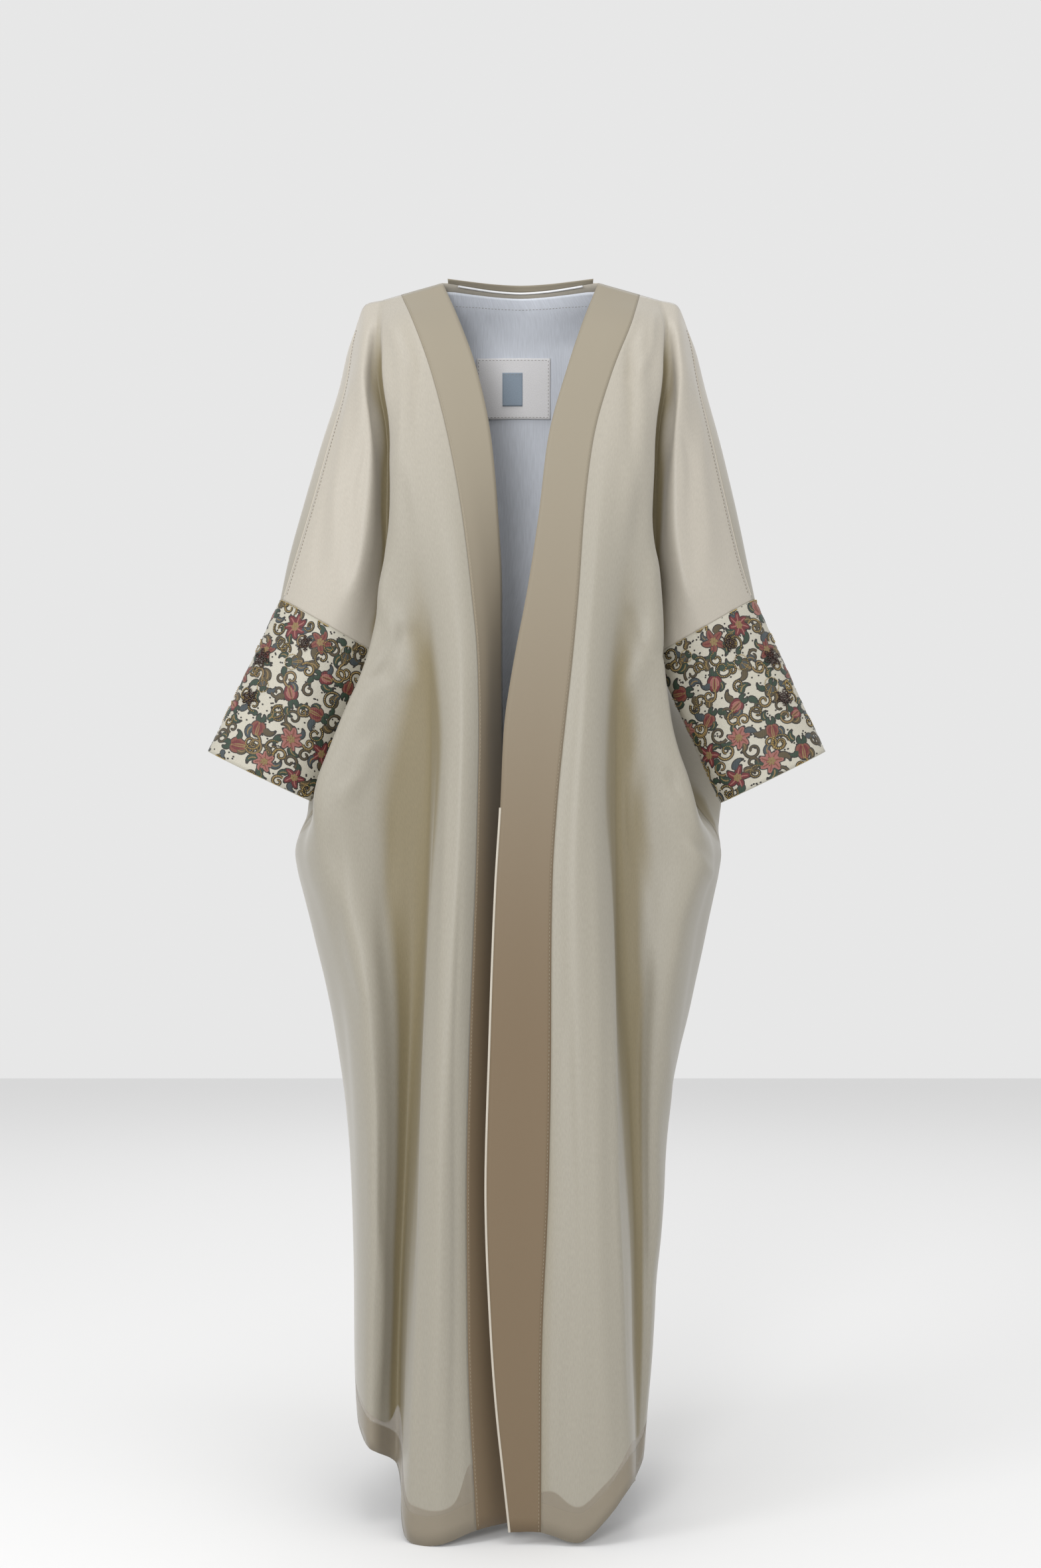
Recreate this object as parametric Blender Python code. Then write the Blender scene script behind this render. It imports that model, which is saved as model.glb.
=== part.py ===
# Embroidered open-front abaya, held in its worn form, built as cut and sewn pieces.
# Metres, +Z up, the front faces -Y, +X is the wearer's left. The origin lies midway
# between the two points where the neck meets the shoulders.
import bpy
import numpy as np

# Driving sizes
cloth_wall = 0.0015
band_wall = 0.0018
cuff_wall = 0.0022
label_wall = 0.0010
seam_gap = 0.0003
lining_gap = 0.0030
patch_gap = 0.0008
rows_per_section = 3
loop_rows = 4
loop_rows_back = 2
loop_close = 0.5
junction_gap = 0.004
junction_clear = 0.003
junction_thinning = 0.7
relax_reach = 0.060
relax_passes = 12
cuff_rows = 5
cuff_depth = 0.058
# Lower corners of each cuff, towards the body and away from it: width and height
cuff_corners = {"right": ((0.2540, -0.6330), (0.3770, -0.5735)),
                "left": ((0.2430, -0.6350), (0.3680, -0.5735))}
cuff_end_y = -0.034
neck_band_height = 0.009
neck_band_start = 0.20
neck_band_lift = 0.0012
lining_wall = 0.0012
lining_top = 0.3
lining_rows = (1, 2, 3, 4)
lining_last_row = 40
shoulder_drop = 0.285
neck_half_width = 0.095
straight_shoulder = 0.171

# Height and width of each section of a front, from the shoulder seam down to the hem.
# Widths are measured outward from the middle of the body to: the free edge of the band,
# the band seam, the column fold beside it, the hollow behind that fold, the ridge in
# front of the arm, and the valley under the arm, which is the side seam from the cuff down.
front_columns = ("z_front", "z_brink", "z_side", "edge", "seam", "column", "brink", "hollow",
                 "crest", "tuck", "side")
front_right_sections = (
    (-0.014, -0.014, -0.0214, 0.0950, 0.1460, 0.1510, 0.1550, 0.1590, 0.1645, 0.1672, 0.1700),
    (-0.060, -0.060, -0.060, 0.0720, 0.1280, 0.1370, 0.1450, 0.1540, 0.1660, 0.1680, 0.1730),
    (-0.120, -0.120, -0.120, 0.0520, 0.1070, 0.1210, 0.1340, 0.1480, 0.1650, 0.1640, 0.1720),
    (-0.205, -0.205, -0.205, 0.0345, 0.0850, 0.1040, 0.1200, 0.1370, 0.1540, 0.1520, 0.1600),
    (-0.295, -0.295, -0.295, 0.0265, 0.0685, 0.0920, 0.1100, 0.1300, 0.1570, 0.1530, 0.1610),
    (-0.385, -0.385, -0.385, 0.0220, 0.0575, 0.0800, 0.0980, 0.1220, 0.1650, 0.1570, 0.1650),
    (-0.470, -0.470, -0.457, 0.0220, 0.0500, 0.0710, 0.0890, 0.1160, 0.1810, 0.1620, 0.1700),
    (-0.550, -0.550, -0.545, 0.0215, 0.0485, 0.0690, 0.0870, 0.1130, 0.2160, 0.1900, 0.1880),
    (-0.640, -0.640, -0.625, 0.0200, 0.0500, 0.0710, 0.0910, 0.1160, 0.2420, 0.2340, 0.2380),
    (-0.720, -0.720, -0.690, 0.0180, 0.0520, 0.0740, 0.0950, 0.1200, 0.2300, 0.2620, 0.2760),
    (-0.800, -0.800, -0.775, 0.0160, 0.0550, 0.0780, 0.0990, 0.1240, 0.2000, 0.2400, 0.2580),
    (-0.920, -0.920, -0.890, 0.0140, 0.0590, 0.0830, 0.1050, 0.1290, 0.1740, 0.2120, 0.2320),
    (-1.080, -1.080, -1.040, 0.0120, 0.0620, 0.0890, 0.1120, 0.1350, 0.1660, 0.1960, 0.2110),
    (-1.270, -1.270, -1.210, 0.0100, 0.0600, 0.0910, 0.1200, 0.1420, 0.1700, 0.1920, 0.2020),
    (-1.462, -1.474, -1.335, 0.0060, 0.0500, 0.0930, 0.1290, 0.1450, 0.1740, 0.1920, 0.2000),
)
front_left_sections = (
    (-0.014, -0.014, -0.0214, 0.0950, 0.1460, 0.1510, 0.1550, 0.1590, 0.1645, 0.1672, 0.1700),
    (-0.060, -0.060, -0.060, 0.0740, 0.1330, 0.1420, 0.1500, 0.1590, 0.1720, 0.1735, 0.1780),
    (-0.120, -0.120, -0.120, 0.0550, 0.1100, 0.1240, 0.1370, 0.1520, 0.1700, 0.1690, 0.1760),
    (-0.205, -0.205, -0.205, 0.0325, 0.0860, 0.1050, 0.1210, 0.1390, 0.1590, 0.1570, 0.1650),
    (-0.295, -0.295, -0.295, 0.0215, 0.0745, 0.0940, 0.1110, 0.1310, 0.1580, 0.1540, 0.1620),
    (-0.385, -0.385, -0.385, 0.0080, 0.0680, 0.0870, 0.1030, 0.1250, 0.1650, 0.1560, 0.1650),
    (-0.470, -0.470, -0.457, -0.0080, 0.0600, 0.0800, 0.0970, 0.1200, 0.1690, 0.1530, 0.1620),
    (-0.550, -0.550, -0.545, -0.0195, 0.0510, 0.0740, 0.0940, 0.1170, 0.1800, 0.1620, 0.1680),
    (-0.640, -0.640, -0.625, -0.0235, 0.0420, 0.0680, 0.0930, 0.1160, 0.2040, 0.1980, 0.2060),
    (-0.720, -0.720, -0.690, -0.0285, 0.0370, 0.0650, 0.0960, 0.1180, 0.2120, 0.2340, 0.2460),
    (-0.800, -0.800, -0.775, -0.0320, 0.0355, 0.0660, 0.0990, 0.1210, 0.1880, 0.2150, 0.2310),
    (-0.920, -0.920, -0.890, -0.0360, 0.0350, 0.0690, 0.1060, 0.1270, 0.1660, 0.1920, 0.2060),
    (-1.080, -1.080, -1.050, -0.0400, 0.0320, 0.0740, 0.1150, 0.1330, 0.1560, 0.1660, 0.1690),
    (-1.270, -1.262, -1.230, -0.0320, 0.0240, 0.0740, 0.1240, 0.1380, 0.1540, 0.1600, 0.1620),
    (-1.462, -1.412, -1.370, -0.0125, 0.0230, 0.0700, 0.1260, 0.1340, 0.1440, 0.1490, 0.1510),
)
# Depth of the same stations, front to back, for both fronts. The right band turns back
# into the body by its recede, and the left front lies over the right one by its lap.
depth_columns = ("seam", "column", "brink", "hollow", "crest", "tuck", "side", "recede", "lap",
                 "left_hollow", "left_crest")
front_depths = (
    (0.000, 0.000, 0.000, 0.000, 0.000, 0.000, 0.000, 0.000, 0.000, 0.000, 0.000),
    (-0.060, -0.057, -0.054, -0.050, -0.042, -0.038, -0.034, 0.004, 0.000, -0.050, -0.042),
    (-0.090, -0.088, -0.085, -0.081, -0.071, -0.059, -0.048, 0.004, 0.000, -0.081, -0.071),
    (-0.113, -0.114, -0.112, -0.107, -0.090, -0.068, -0.047, 0.010, 0.000, -0.107, -0.090),
    (-0.129, -0.131, -0.127, -0.120, -0.097, -0.070, -0.042, 0.020, 0.000, -0.120, -0.097),
    (-0.139, -0.142, -0.136, -0.122, -0.102, -0.070, -0.036, 0.032, 0.001, -0.122, -0.102),
    (-0.146, -0.152, -0.143, -0.118, -0.107, -0.066, -0.028, 0.042, 0.004, -0.119, -0.104),
    (-0.151, -0.161, -0.149, -0.112, -0.110, -0.060, -0.004, 0.047, 0.006, -0.114, -0.103),
    (-0.157, -0.169, -0.155, -0.106, -0.112, -0.050, 0.022, 0.046, 0.007, -0.109, -0.104),
    (-0.162, -0.176, -0.161, -0.102, -0.110, -0.048, 0.024, 0.045, 0.008, -0.107, -0.103),
    (-0.167, -0.182, -0.167, -0.100, -0.117, -0.052, 0.020, 0.044, 0.008, -0.107, -0.108),
    (-0.175, -0.191, -0.176, -0.101, -0.127, -0.055, 0.021, 0.042, 0.008, -0.110, -0.114),
    (-0.186, -0.202, -0.187, -0.107, -0.136, -0.055, 0.025, 0.040, 0.008, -0.118, -0.116),
    (-0.198, -0.213, -0.197, -0.117, -0.143, -0.054, 0.030, 0.038, 0.008, -0.127, -0.116),
    (-0.208, -0.222, -0.205, -0.127, -0.146, -0.052, 0.035, 0.036, 0.008, -0.134, -0.112),
)
# How far each station hangs from the height of the front towards that of the side seam
front_sag = {"edge": 0.0, "seam": 0.0, "column": -0.10, "hollow": 0.42, "crest": 0.60,
             "tuck": 0.80, "side": 1.0}
# Sleeve sections, from the shoulder tip down to the cuff seam: the ridge on the front of
# the sleeve, the seam along the top of the arm on each side, its depth and height, the
# back of the sleeve beyond that seam, the ridge behind, and the valley behind the arm.
sleeve_columns = ("ridge_right", "ridge_left", "ridge_y", "over_right", "over_left", "over_y",
                  "over_z", "strip", "out_y", "back_y", "valley_x", "valley_y")
sleeve_sections = (
    (0.1900, 0.1910, 0.000, 0.1980, 0.2000, 0.000, -0.046, 0.000, 0.000, 0.000, 0.170, 0.000),
    (0.1880, 0.1910, -0.040, 0.2050, 0.2080, -0.010, -0.078, 0.006, 0.012, 0.042, 0.173, 0.050),
    (0.1890, 0.1930, -0.063, 0.2110, 0.2150, -0.022, -0.125, 0.011, 0.010, 0.056, 0.172, 0.062),
    (0.1780, 0.1840, -0.073, 0.2310, 0.2320, -0.032, -0.200, 0.013, 0.008, 0.058, 0.166, 0.056),
    (0.1830, 0.1840, -0.075, 0.2520, 0.2490, -0.034, -0.275, 0.013, 0.007, 0.052, 0.163, 0.040),
    (0.2000, 0.1960, -0.073, 0.2720, 0.2650, -0.031, -0.340, 0.010, 0.003, 0.038, 0.166, 0.012),
    (0.2280, 0.2200, -0.064, 0.2880, 0.2810, -0.026, -0.390, 0.003, -0.008, 0.017, 0.170, -0.028),
)
# The back, from the neck edge down to the hem. The flank lies inside the side seam or the
# valley by its inset on each side; the blade and the middle are widths; all have a depth.
back_columns = ("z_back", "inset_right", "inset_left", "flank_y", "blade_x", "blade_y", "mid_x",
                "mid_y", "centre_y")
back_sections = (
    (0.0000, 0.010, 0.010, 0.000, 0.130, 0.000, 0.095, 0.000, 0.057),
    (-0.055, 0.013, 0.013, 0.060, 0.125, 0.080, 0.072, 0.091, 0.090),
    (-0.120, 0.015, 0.015, 0.075, 0.122, 0.098, 0.065, 0.107, 0.104),
    (-0.205, 0.014, 0.014, 0.080, 0.118, 0.110, 0.062, 0.119, 0.115),
    (-0.295, 0.012, 0.012, 0.077, 0.116, 0.108, 0.060, 0.117, 0.114),
    (-0.385, 0.008, 0.006, 0.066, 0.116, 0.102, 0.060, 0.110, 0.108),
    (-0.470, -0.010, -0.010, 0.054, 0.120, 0.098, 0.061, 0.105, 0.104),
    (-0.550, -0.030, -0.045, 0.052, 0.132, 0.100, 0.063, 0.107, 0.105),
    (-0.640, -0.024, -0.044, 0.058, 0.142, 0.107, 0.065, 0.114, 0.110),
    (-0.720, 0.010, 0.006, 0.066, 0.146, 0.113, 0.066, 0.121, 0.116),
    (-0.800, 0.016, 0.016, 0.072, 0.142, 0.119, 0.066, 0.126, 0.121),
    (-0.920, 0.018, 0.018, 0.078, 0.130, 0.124, 0.065, 0.131, 0.126),
    (-1.080, 0.016, 0.016, 0.082, 0.118, 0.127, 0.062, 0.135, 0.131),
    (-1.250, 0.014, 0.014, 0.086, 0.110, 0.131, 0.060, 0.139, 0.136),
    (-1.420, 0.012, 0.012, 0.090, 0.108, 0.136, 0.060, 0.144, 0.141),
)
front_stations_in_order = ("edge", "seam", "column", "brink", "hollow", "crest",
                            "tuck", "side")
back_sag = {"side": 1.0, "flank": 0.9, "blade": 0.60, "mid": 0.296, "centre": 0.0}

# Soft folds added to a panel: where each starts and ends, its half width, and how far it
# stands out of the cloth (a trough where negative).
fold_columns = ("x_top", "z_top", "x_end", "z_end", "half_width", "rise")
front_right_folds = (
    (-0.178, -0.74, -0.190, -1.28, 0.024, 0.0070),
)
front_left_folds = (
    (0.192, -0.76, 0.160, -1.10, 0.020, 0.0050),
)
back_folds = (
    (-0.118, -0.30, -0.098, -1.44, 0.036, 0.0150),
    (-0.052, -0.42, -0.046, -1.44, 0.030, -0.0120),
    (0.006, -0.36, 0.000, -1.44, 0.034, 0.0130),
    (0.066, -0.48, 0.050, -1.44, 0.030, -0.0120),
    (0.122, -0.28, 0.100, -1.44, 0.034, 0.0140),
)
# Quads between neighbouring stations
front_counts = (3, 2, 3, 4, 2, 2)
sleeve_counts = (4, 4)
sleeve_back_counts = (2, 2, 4)
back_counts = (2, 3, 3, 3)
band_count = 3

# The label patch and the label on the inner side of the back: left, right, top, bottom
patch_sides = (-0.0555, 0.0378, -0.076, -0.151)
label_sides = (-0.0227, 0.0025, -0.094, -0.135)
patch_grid = (6, 5)
label_grid = (2, 2)

# Surface of each slot: colour, roughness, sheen colour is left to the look
finishes = {
    "outer_cloth": ((0.58, 0.54, 0.43), 0.45),
    "front_band": ((0.50, 0.42, 0.31), 0.60),
    "lining": ((0.62, 0.64, 0.68), 0.65),
    "patch_cloth": ((0.70, 0.68, 0.62), 0.70),
    "label_weave": ((0.42, 0.48, 0.56), 0.55),
    "cuff_brocade": ((0.42, 0.35, 0.24), 0.60),
}


def column(table, names, name):
    return np.array([row[names.index(name)] for row in table], dtype=float)


def monotone(knots, values, at):
    """Values between knots without overshoot, one column at a time."""
    step = np.diff(knots)[:, None]
    slope = np.diff(values, axis=0) / step
    tangent = np.zeros_like(values)
    same = slope[:-1] * slope[1:] > 0
    mean = 2 * slope[:-1] * slope[1:] / np.where(same, slope[:-1] + slope[1:], 1.0)
    tangent[1:-1] = np.where(same, mean, 0.0)
    tangent[0], tangent[-1] = slope[0], slope[-1]
    index = np.clip(np.searchsorted(knots, at, side="right") - 1, 0, len(knots) - 2)
    width = step[index]
    part = ((at - knots[index])[:, None]) / width
    a, b = values[index], values[index + 1]
    ta, tb = tangent[index] * width, tangent[index + 1] * width
    return (a * (2 * part**3 - 3 * part**2 + 1) + ta * (part**3 - 2 * part**2 + part)
            + b * (3 * part**2 - 2 * part**3) + tb * (part**3 - part**2))


def sub_rows(values, sections):
    """Fill in the rows between sections; values has one row per section."""
    flat = np.asarray(values, dtype=float).reshape(len(values), -1)
    at = np.linspace(0, sections - 1, (sections - 1) * rows_per_section + 1)
    filled = monotone(np.arange(sections, dtype=float), flat[:sections], at)
    return filled.reshape((len(at),) + np.asarray(values).shape[1:])


def through(stations, counts, first, last, sharp=None):
    """Round curve through each row's stations; gives the points from station first to last.

    sharp is a station whose corner is kept, with its weight for every row."""
    step = np.linalg.norm(np.diff(stations, axis=1), axis=2)
    step = np.maximum(step, 1e-5) ** 0.5
    chord = np.diff(stations, axis=1) / step[..., None]
    before, after = step[:, :-1, None], step[:, 1:, None]
    tangent = np.empty_like(stations)
    tangent[:, 0], tangent[:, -1] = chord[:, 0], chord[:, -1]
    across = (stations[:, 2:] - stations[:, :-2]) / (before + after)
    tangent[:, 1:-1] = chord[:, :-1] - across + chord[:, 1:]
    into, out = tangent.copy(), tangent.copy()
    if sharp is not None:
        station, weight = sharp
        weight = weight[:, None]
        into[:, station] = into[:, station] * (1 - weight) + chord[:, station - 1] * weight
        out[:, station] = out[:, station] * (1 - weight) + chord[:, station] * weight
    points = []
    for index in range(first, last):
        count = counts[index - first]
        for part in np.arange(count) / count:
            a, b = stations[:, index], stations[:, index + 1]
            ta = out[:, index] * step[:, index, None]
            tb = into[:, index + 1] * step[:, index, None]
            points.append(a * (2 * part**3 - 3 * part**2 + 1)
                          + ta * (part**3 - 2 * part**2 + part)
                          + b * (3 * part**2 - 2 * part**3) + tb * (part**3 - part**2))
    points.append(stations[:, last].copy())
    return np.stack(points, axis=1)


def shoulder_height(width):
    """Height of the shoulder seam at a width, which is nought where the neck begins."""
    return -(width - neck_half_width) * shoulder_drop


def front_stations(sections, side, recede):
    """Stations of a front with its band, one row per section: edge, seam ... side."""
    top = column(sections, front_columns, "z_front")
    low = column(sections, front_columns, "z_side")
    lap = column(front_depths, depth_columns, "lap") * (1 - recede)
    back_turn = column(front_depths, depth_columns, "recede") * recede
    stations = []
    for name in front_stations_in_order:
        x = column(sections, front_columns, name) * side
        depth = "seam" if name == "edge" else name
        if recede == 0.0 and name in ("hollow", "crest"):
            depth = "left_" + name
        y = column(front_depths, depth_columns, depth)
        if name in ("edge", "seam"):
            y = y - lap
        if name == "edge":
            y = y + back_turn
        if name == "brink":
            z = column(sections, front_columns, "z_brink")
        else:
            z = top + (low - top) * front_sag[name]
        z[0] = shoulder_height(abs(x[0]))
        stations.append(np.stack((x, y, z), axis=1))
    return np.stack(stations, axis=1)


def sleeve_stations(sections, side):
    """Sleeve stations from valley in front round to valley behind, one row per section."""
    which = "right" if side < 0 else "left"
    rows = len(sleeve_sections)
    get = lambda name: column(sleeve_sections, sleeve_columns, name)
    valley_x = column(sections, front_columns, "side")[:rows]
    valley_y = column(front_depths, depth_columns, "side")[:rows]
    valley_z = column(sections, front_columns, "z_side")[:rows]
    over_x, over_y, over_z = get("over_" + which), get("over_y"), get("over_z")
    ridge_x = get("ridge_" + which)
    share = (ridge_x - valley_x) / (over_x - valley_x)
    ridge_z = valley_z + (over_z - valley_z) * share
    ridge_z[0] = shoulder_height(ridge_x[0])
    out_x = over_x + get("strip")
    out_z = over_z - 0.3 * get("strip")
    back_x = get("valley_x").copy()
    back_x[-1] = valley_x[-1]
    back_y = get("valley_y").copy()
    back_y[-1] = valley_y[-1]
    behind_x = ridge_x + 0.006
    points = (
        (valley_x, valley_y, valley_z),
        (ridge_x, get("ridge_y"), ridge_z),
        (over_x, over_y, over_z),
        (out_x, get("out_y"), out_z),
        (behind_x, get("back_y"), ridge_z),
        (back_x, back_y, valley_z),
    )
    return np.stack([np.stack((side * x, y, z), axis=1) for x, y, z in points], axis=1)


def back_stations(sections, sleeves, side):
    """Half of the back, one row per section: side or valley, flank, blade, mid, centre."""
    rows = len(back_sections)
    valley_rows = len(sleeve_sections)
    get = lambda name: column(back_sections, back_columns, name)
    side_x = column(sections, front_columns, "side")
    side_y = column(front_depths, depth_columns, "side").copy()
    side_z = column(sections, front_columns, "z_side")
    side_x[:valley_rows] = np.abs(sleeves[:, 5, 0])
    side_y[:valley_rows] = sleeves[:, 5, 1]
    centre_z = get("z_back")
    flank_x = side_x - get("inset_right" if side < 0 else "inset_left")
    points = (
        ("side", side_x, side_y),
        ("flank", flank_x, get("flank_y")),
        ("blade", get("blade_x"), get("blade_y")),
        ("mid", get("mid_x"), get("mid_y")),
        ("centre", np.zeros(rows), get("centre_y")),
    )
    stations = []
    for name, x, y in points:
        z = centre_z + (side_z - centre_z) * back_sag[name]
        if name != "centre":
            z[0] = shoulder_height(x[0])
        stations.append(np.stack((side * x, y, z), axis=1))
    return np.stack(stations, axis=1)


def surface_normals(points, outward):
    """Unit normals of a grid; outward is +1 or -1 for the way its columns run."""
    down = np.gradient(points, axis=0)
    across = np.gradient(points, axis=1)
    normal = np.cross(down, across) * outward
    return normal / np.maximum(np.linalg.norm(normal, axis=2, keepdims=True), 1e-12)


def smooth_step(value):
    value = np.clip(value, 0.0, 1.0)
    return value * value * (3 - 2 * value)


def add_folds(points, outward, folds, edge_fade, last_row):
    """Push the cloth out along its folds; the seams and the rows past last_row stay put."""
    normal = surface_normals(points[:last_row + 1], outward)
    x, z = points[:last_row + 1, :, 0], points[:last_row + 1, :, 2]
    rise = np.zeros_like(x)
    for x_top, z_top, x_end, z_end, half_width, height in folds:
        along = (z - z_top) / (z_end - z_top)
        line = x_top + (x_end - x_top) * along
        grow = smooth_step(along * 4.0) * smooth_step((1.35 - along) * 3.0)
        rise += height * grow * np.exp(-((x - line) / half_width) ** 2)
    moved = points.copy()
    moved[:last_row + 1] += normal * (rise * edge_fade[:last_row + 1])[..., None]
    return moved


def grid_mesh(points, outward, present):
    """Points, normals and faces of a grid of quads, of which only the present ones count."""
    rows, cols = points.shape[:2]
    flat = points.reshape(-1, 3)
    faces = []
    for row in range(rows - 1):
        for col in range(cols - 1):
            if present[row, col]:
                a, b = row * cols + col, row * cols + col + 1
                c, d = a + cols, b + cols
                faces.append((a, c, d, b) if outward > 0 else (a, b, d, c))
    used = sorted({index for face in faces for index in face})
    renumber = {old: new for new, old in enumerate(used)}
    faces = [tuple(renumber[index] for index in face) for face in faces]
    flat = flat[used].copy()
    return flat, face_normals(flat, faces), faces


def face_normals(flat, faces):
    normal = np.zeros_like(flat)
    for face in faces:
        a, b, c, d = (flat[index] for index in face)
        turn = np.cross(c - a, d - b)
        for index in face:
            normal[index] += turn
    return normal / np.maximum(np.linalg.norm(normal, axis=1, keepdims=True), 1e-12)


def free_edges(faces):
    count = {}
    for face in faces:
        for index, start in enumerate(face):
            end = face[(index + 1) % len(face)]
            key = (min(start, end), max(start, end))
            count.setdefault(key, []).append((start, end, face))
    return [uses[0] for uses in count.values() if len(uses) == 1]


def relax(sheet, junctions):
    """Even out the cloth round a junction, so that its narrow valley stays open."""
    points, faces = sheet["points"], sheet["faces"]
    fixed = {index for start, end, _ in free_edges(faces) for index in (start, end)}
    beside = {}
    for face in faces:
        for index, start in enumerate(face):
            end = face[(index + 1) % len(face)]
            beside.setdefault(start, set()).add(end)
            beside.setdefault(end, set()).add(start)
    away = np.min([np.linalg.norm(points - junction, axis=1) for junction in junctions], axis=0)
    moving = [index for index in np.nonzero(away < relax_reach)[0] if index not in fixed]
    for _ in range(relax_passes):
        eased = points.copy()
        for index in moving:
            share = smooth_step(2 * (1 - away[index] / relax_reach)) * 0.5
            middle = points[list(beside[index])].mean(axis=0)
            eased[index] = points[index] * (1 - share) + middle * share
        points[:] = eased
    sheet["normals"] = face_normals(points, faces)


def at_junction(point, junctions):
    return any(np.linalg.norm(point - junction) < 1e-6 for junction in junctions)


def junction_normal(sheet, index):
    """The way the valley opens: the mean of the faces that meet there from above."""
    points = sheet["points"]
    normal = np.zeros(3)
    for face in sheet["faces"]:
        if index in face and (points[list(face)].mean(axis=0)[2] > points[index][2]
                              or sheet["slot"] == "cuff_brocade"):
            a, b, c, d = points[list(face)]
            turn = np.cross(c - a, d - b)
            normal += turn / np.linalg.norm(turn)
    return normal / np.linalg.norm(normal)


def share_normals(sheets, junctions):
    """Give the points that meet at a seam one normal, so the walls are mitred there.

    At the junction under each arm every piece keeps its own."""
    total = {}
    for sheet in sheets:
        for point, normal in zip(sheet["points"], sheet["normals"]):
            key = tuple(np.round(point, 6))
            total[key] = total.get(key, np.zeros(3)) + normal
    for sheet in sheets:
        for index, point in enumerate(sheet["points"]):
            if at_junction(point, junctions):
                sheet["normals"][index] = junction_normal(sheet, index) * junction_thinning
                continue
            normal = total[tuple(np.round(point, 6))]
            if abs(point[1]) < 1e-6 and abs(point[0]) < straight_shoulder:
                normal = np.array((shoulder_drop * np.sign(point[0]), 0.0, 1.0))
            size = np.linalg.norm(normal)
            if size > 0.15:
                sheet["normals"][index] = normal / size


def inset(sheet, junctions):
    """Draw the free edges of a sheet back by half the seam gap, and more at a junction."""
    points, normals = sheet["points"], sheet["normals"]
    move = np.zeros_like(points)
    for start, end, face in free_edges(sheet["faces"]):
        edge = points[end] - points[start]
        edge = edge / max(np.linalg.norm(edge), 1e-9)
        middle = (points[start] + points[end]) / 2
        inward = points[list(face)].mean(axis=0) - middle
        inward = inward - edge * inward.dot(edge)
        inward = inward / max(np.linalg.norm(inward), 1e-9)
        move[start] += inward
        move[end] += inward
    for index in np.nonzero(np.linalg.norm(move, axis=1) > 0)[0]:
        way = move[index] - normals[index] * move[index].dot(normals[index])
        size = np.linalg.norm(way)
        if size > 1e-6:
            distance = junction_gap if at_junction(points[index], junctions) else seam_gap / 2
            points[index] = points[index] + way / size * distance


def add_object(name, slot, vertices, faces, collection):
    mesh = bpy.data.meshes.new(name)
    mesh.from_pydata([tuple(map(float, vertex)) for vertex in vertices], [], faces)
    mesh.validate()
    mesh.update()
    mesh.shade_smooth()
    mesh.set_sharp_from_angle(angle=np.radians(50))
    material = bpy.data.materials.get(slot)
    if material is None:
        colour, rough = finishes[slot]
        material = bpy.data.materials.new(slot)
        material.use_nodes = True
        shader = material.node_tree.nodes["Principled BSDF"]
        shader.inputs["Base Color"].default_value = (*colour, 1.0)
        shader.inputs["Roughness"].default_value = rough
        shader.inputs["Metallic"].default_value = 0.0
    mesh.materials.append(material)
    item = bpy.data.objects.new(name, mesh)
    collection.objects.link(item)
    return item


def add_shell(sheet, wall, collection):
    """Close a sheet into a wall of even thickness, half on each side of its points."""
    points, normals, faces = sheet["points"], sheet["normals"], sheet["faces"]
    outer = points + normals * wall / 2
    inner = points - normals * wall / 2
    shift = len(points)
    solid = []
    for a, b, c, d in faces:
        # Both faces of the wall are cut along the same, shorter diagonal
        if np.linalg.norm(points[a] - points[c]) <= np.linalg.norm(points[b] - points[d]):
            halves = ((a, b, c), (a, c, d))
        else:
            halves = ((a, b, d), (b, c, d))
        for half in halves:
            solid.append(half)
            solid.append(tuple(index + shift for index in reversed(half)))
    for start, end, _ in free_edges(faces):
        solid.append((end, start, start + shift, end + shift))
    vertices = np.concatenate((outer, inner))
    return add_object(sheet["name"], sheet["slot"], vertices, solid, collection)


def make_sheet(name, slot, points, outward, present=None):
    if present is None:
        present = np.ones((points.shape[0] - 1, points.shape[1] - 1), dtype=bool)
    flat, normals, faces = grid_mesh(points, outward, present)
    return {"name": name, "slot": slot, "points": flat, "normals": normals, "faces": faces,
            "grid": points}


def part_of_sheet(sheet, name, kept):
    """The kept faces of a sheet, as a sheet of its own."""
    faces = [face for face, keep in zip(sheet["faces"], kept) if keep]
    used = sorted({index for face in faces for index in face})
    renumber = {old: new for new, old in enumerate(used)}
    return {"name": name, "slot": sheet["slot"], "points": sheet["points"][used].copy(),
            "normals": sheet["normals"][used].copy(),
            "faces": [tuple(renumber[index] for index in face) for face in faces],
            "grid": sheet["grid"]}


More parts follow.
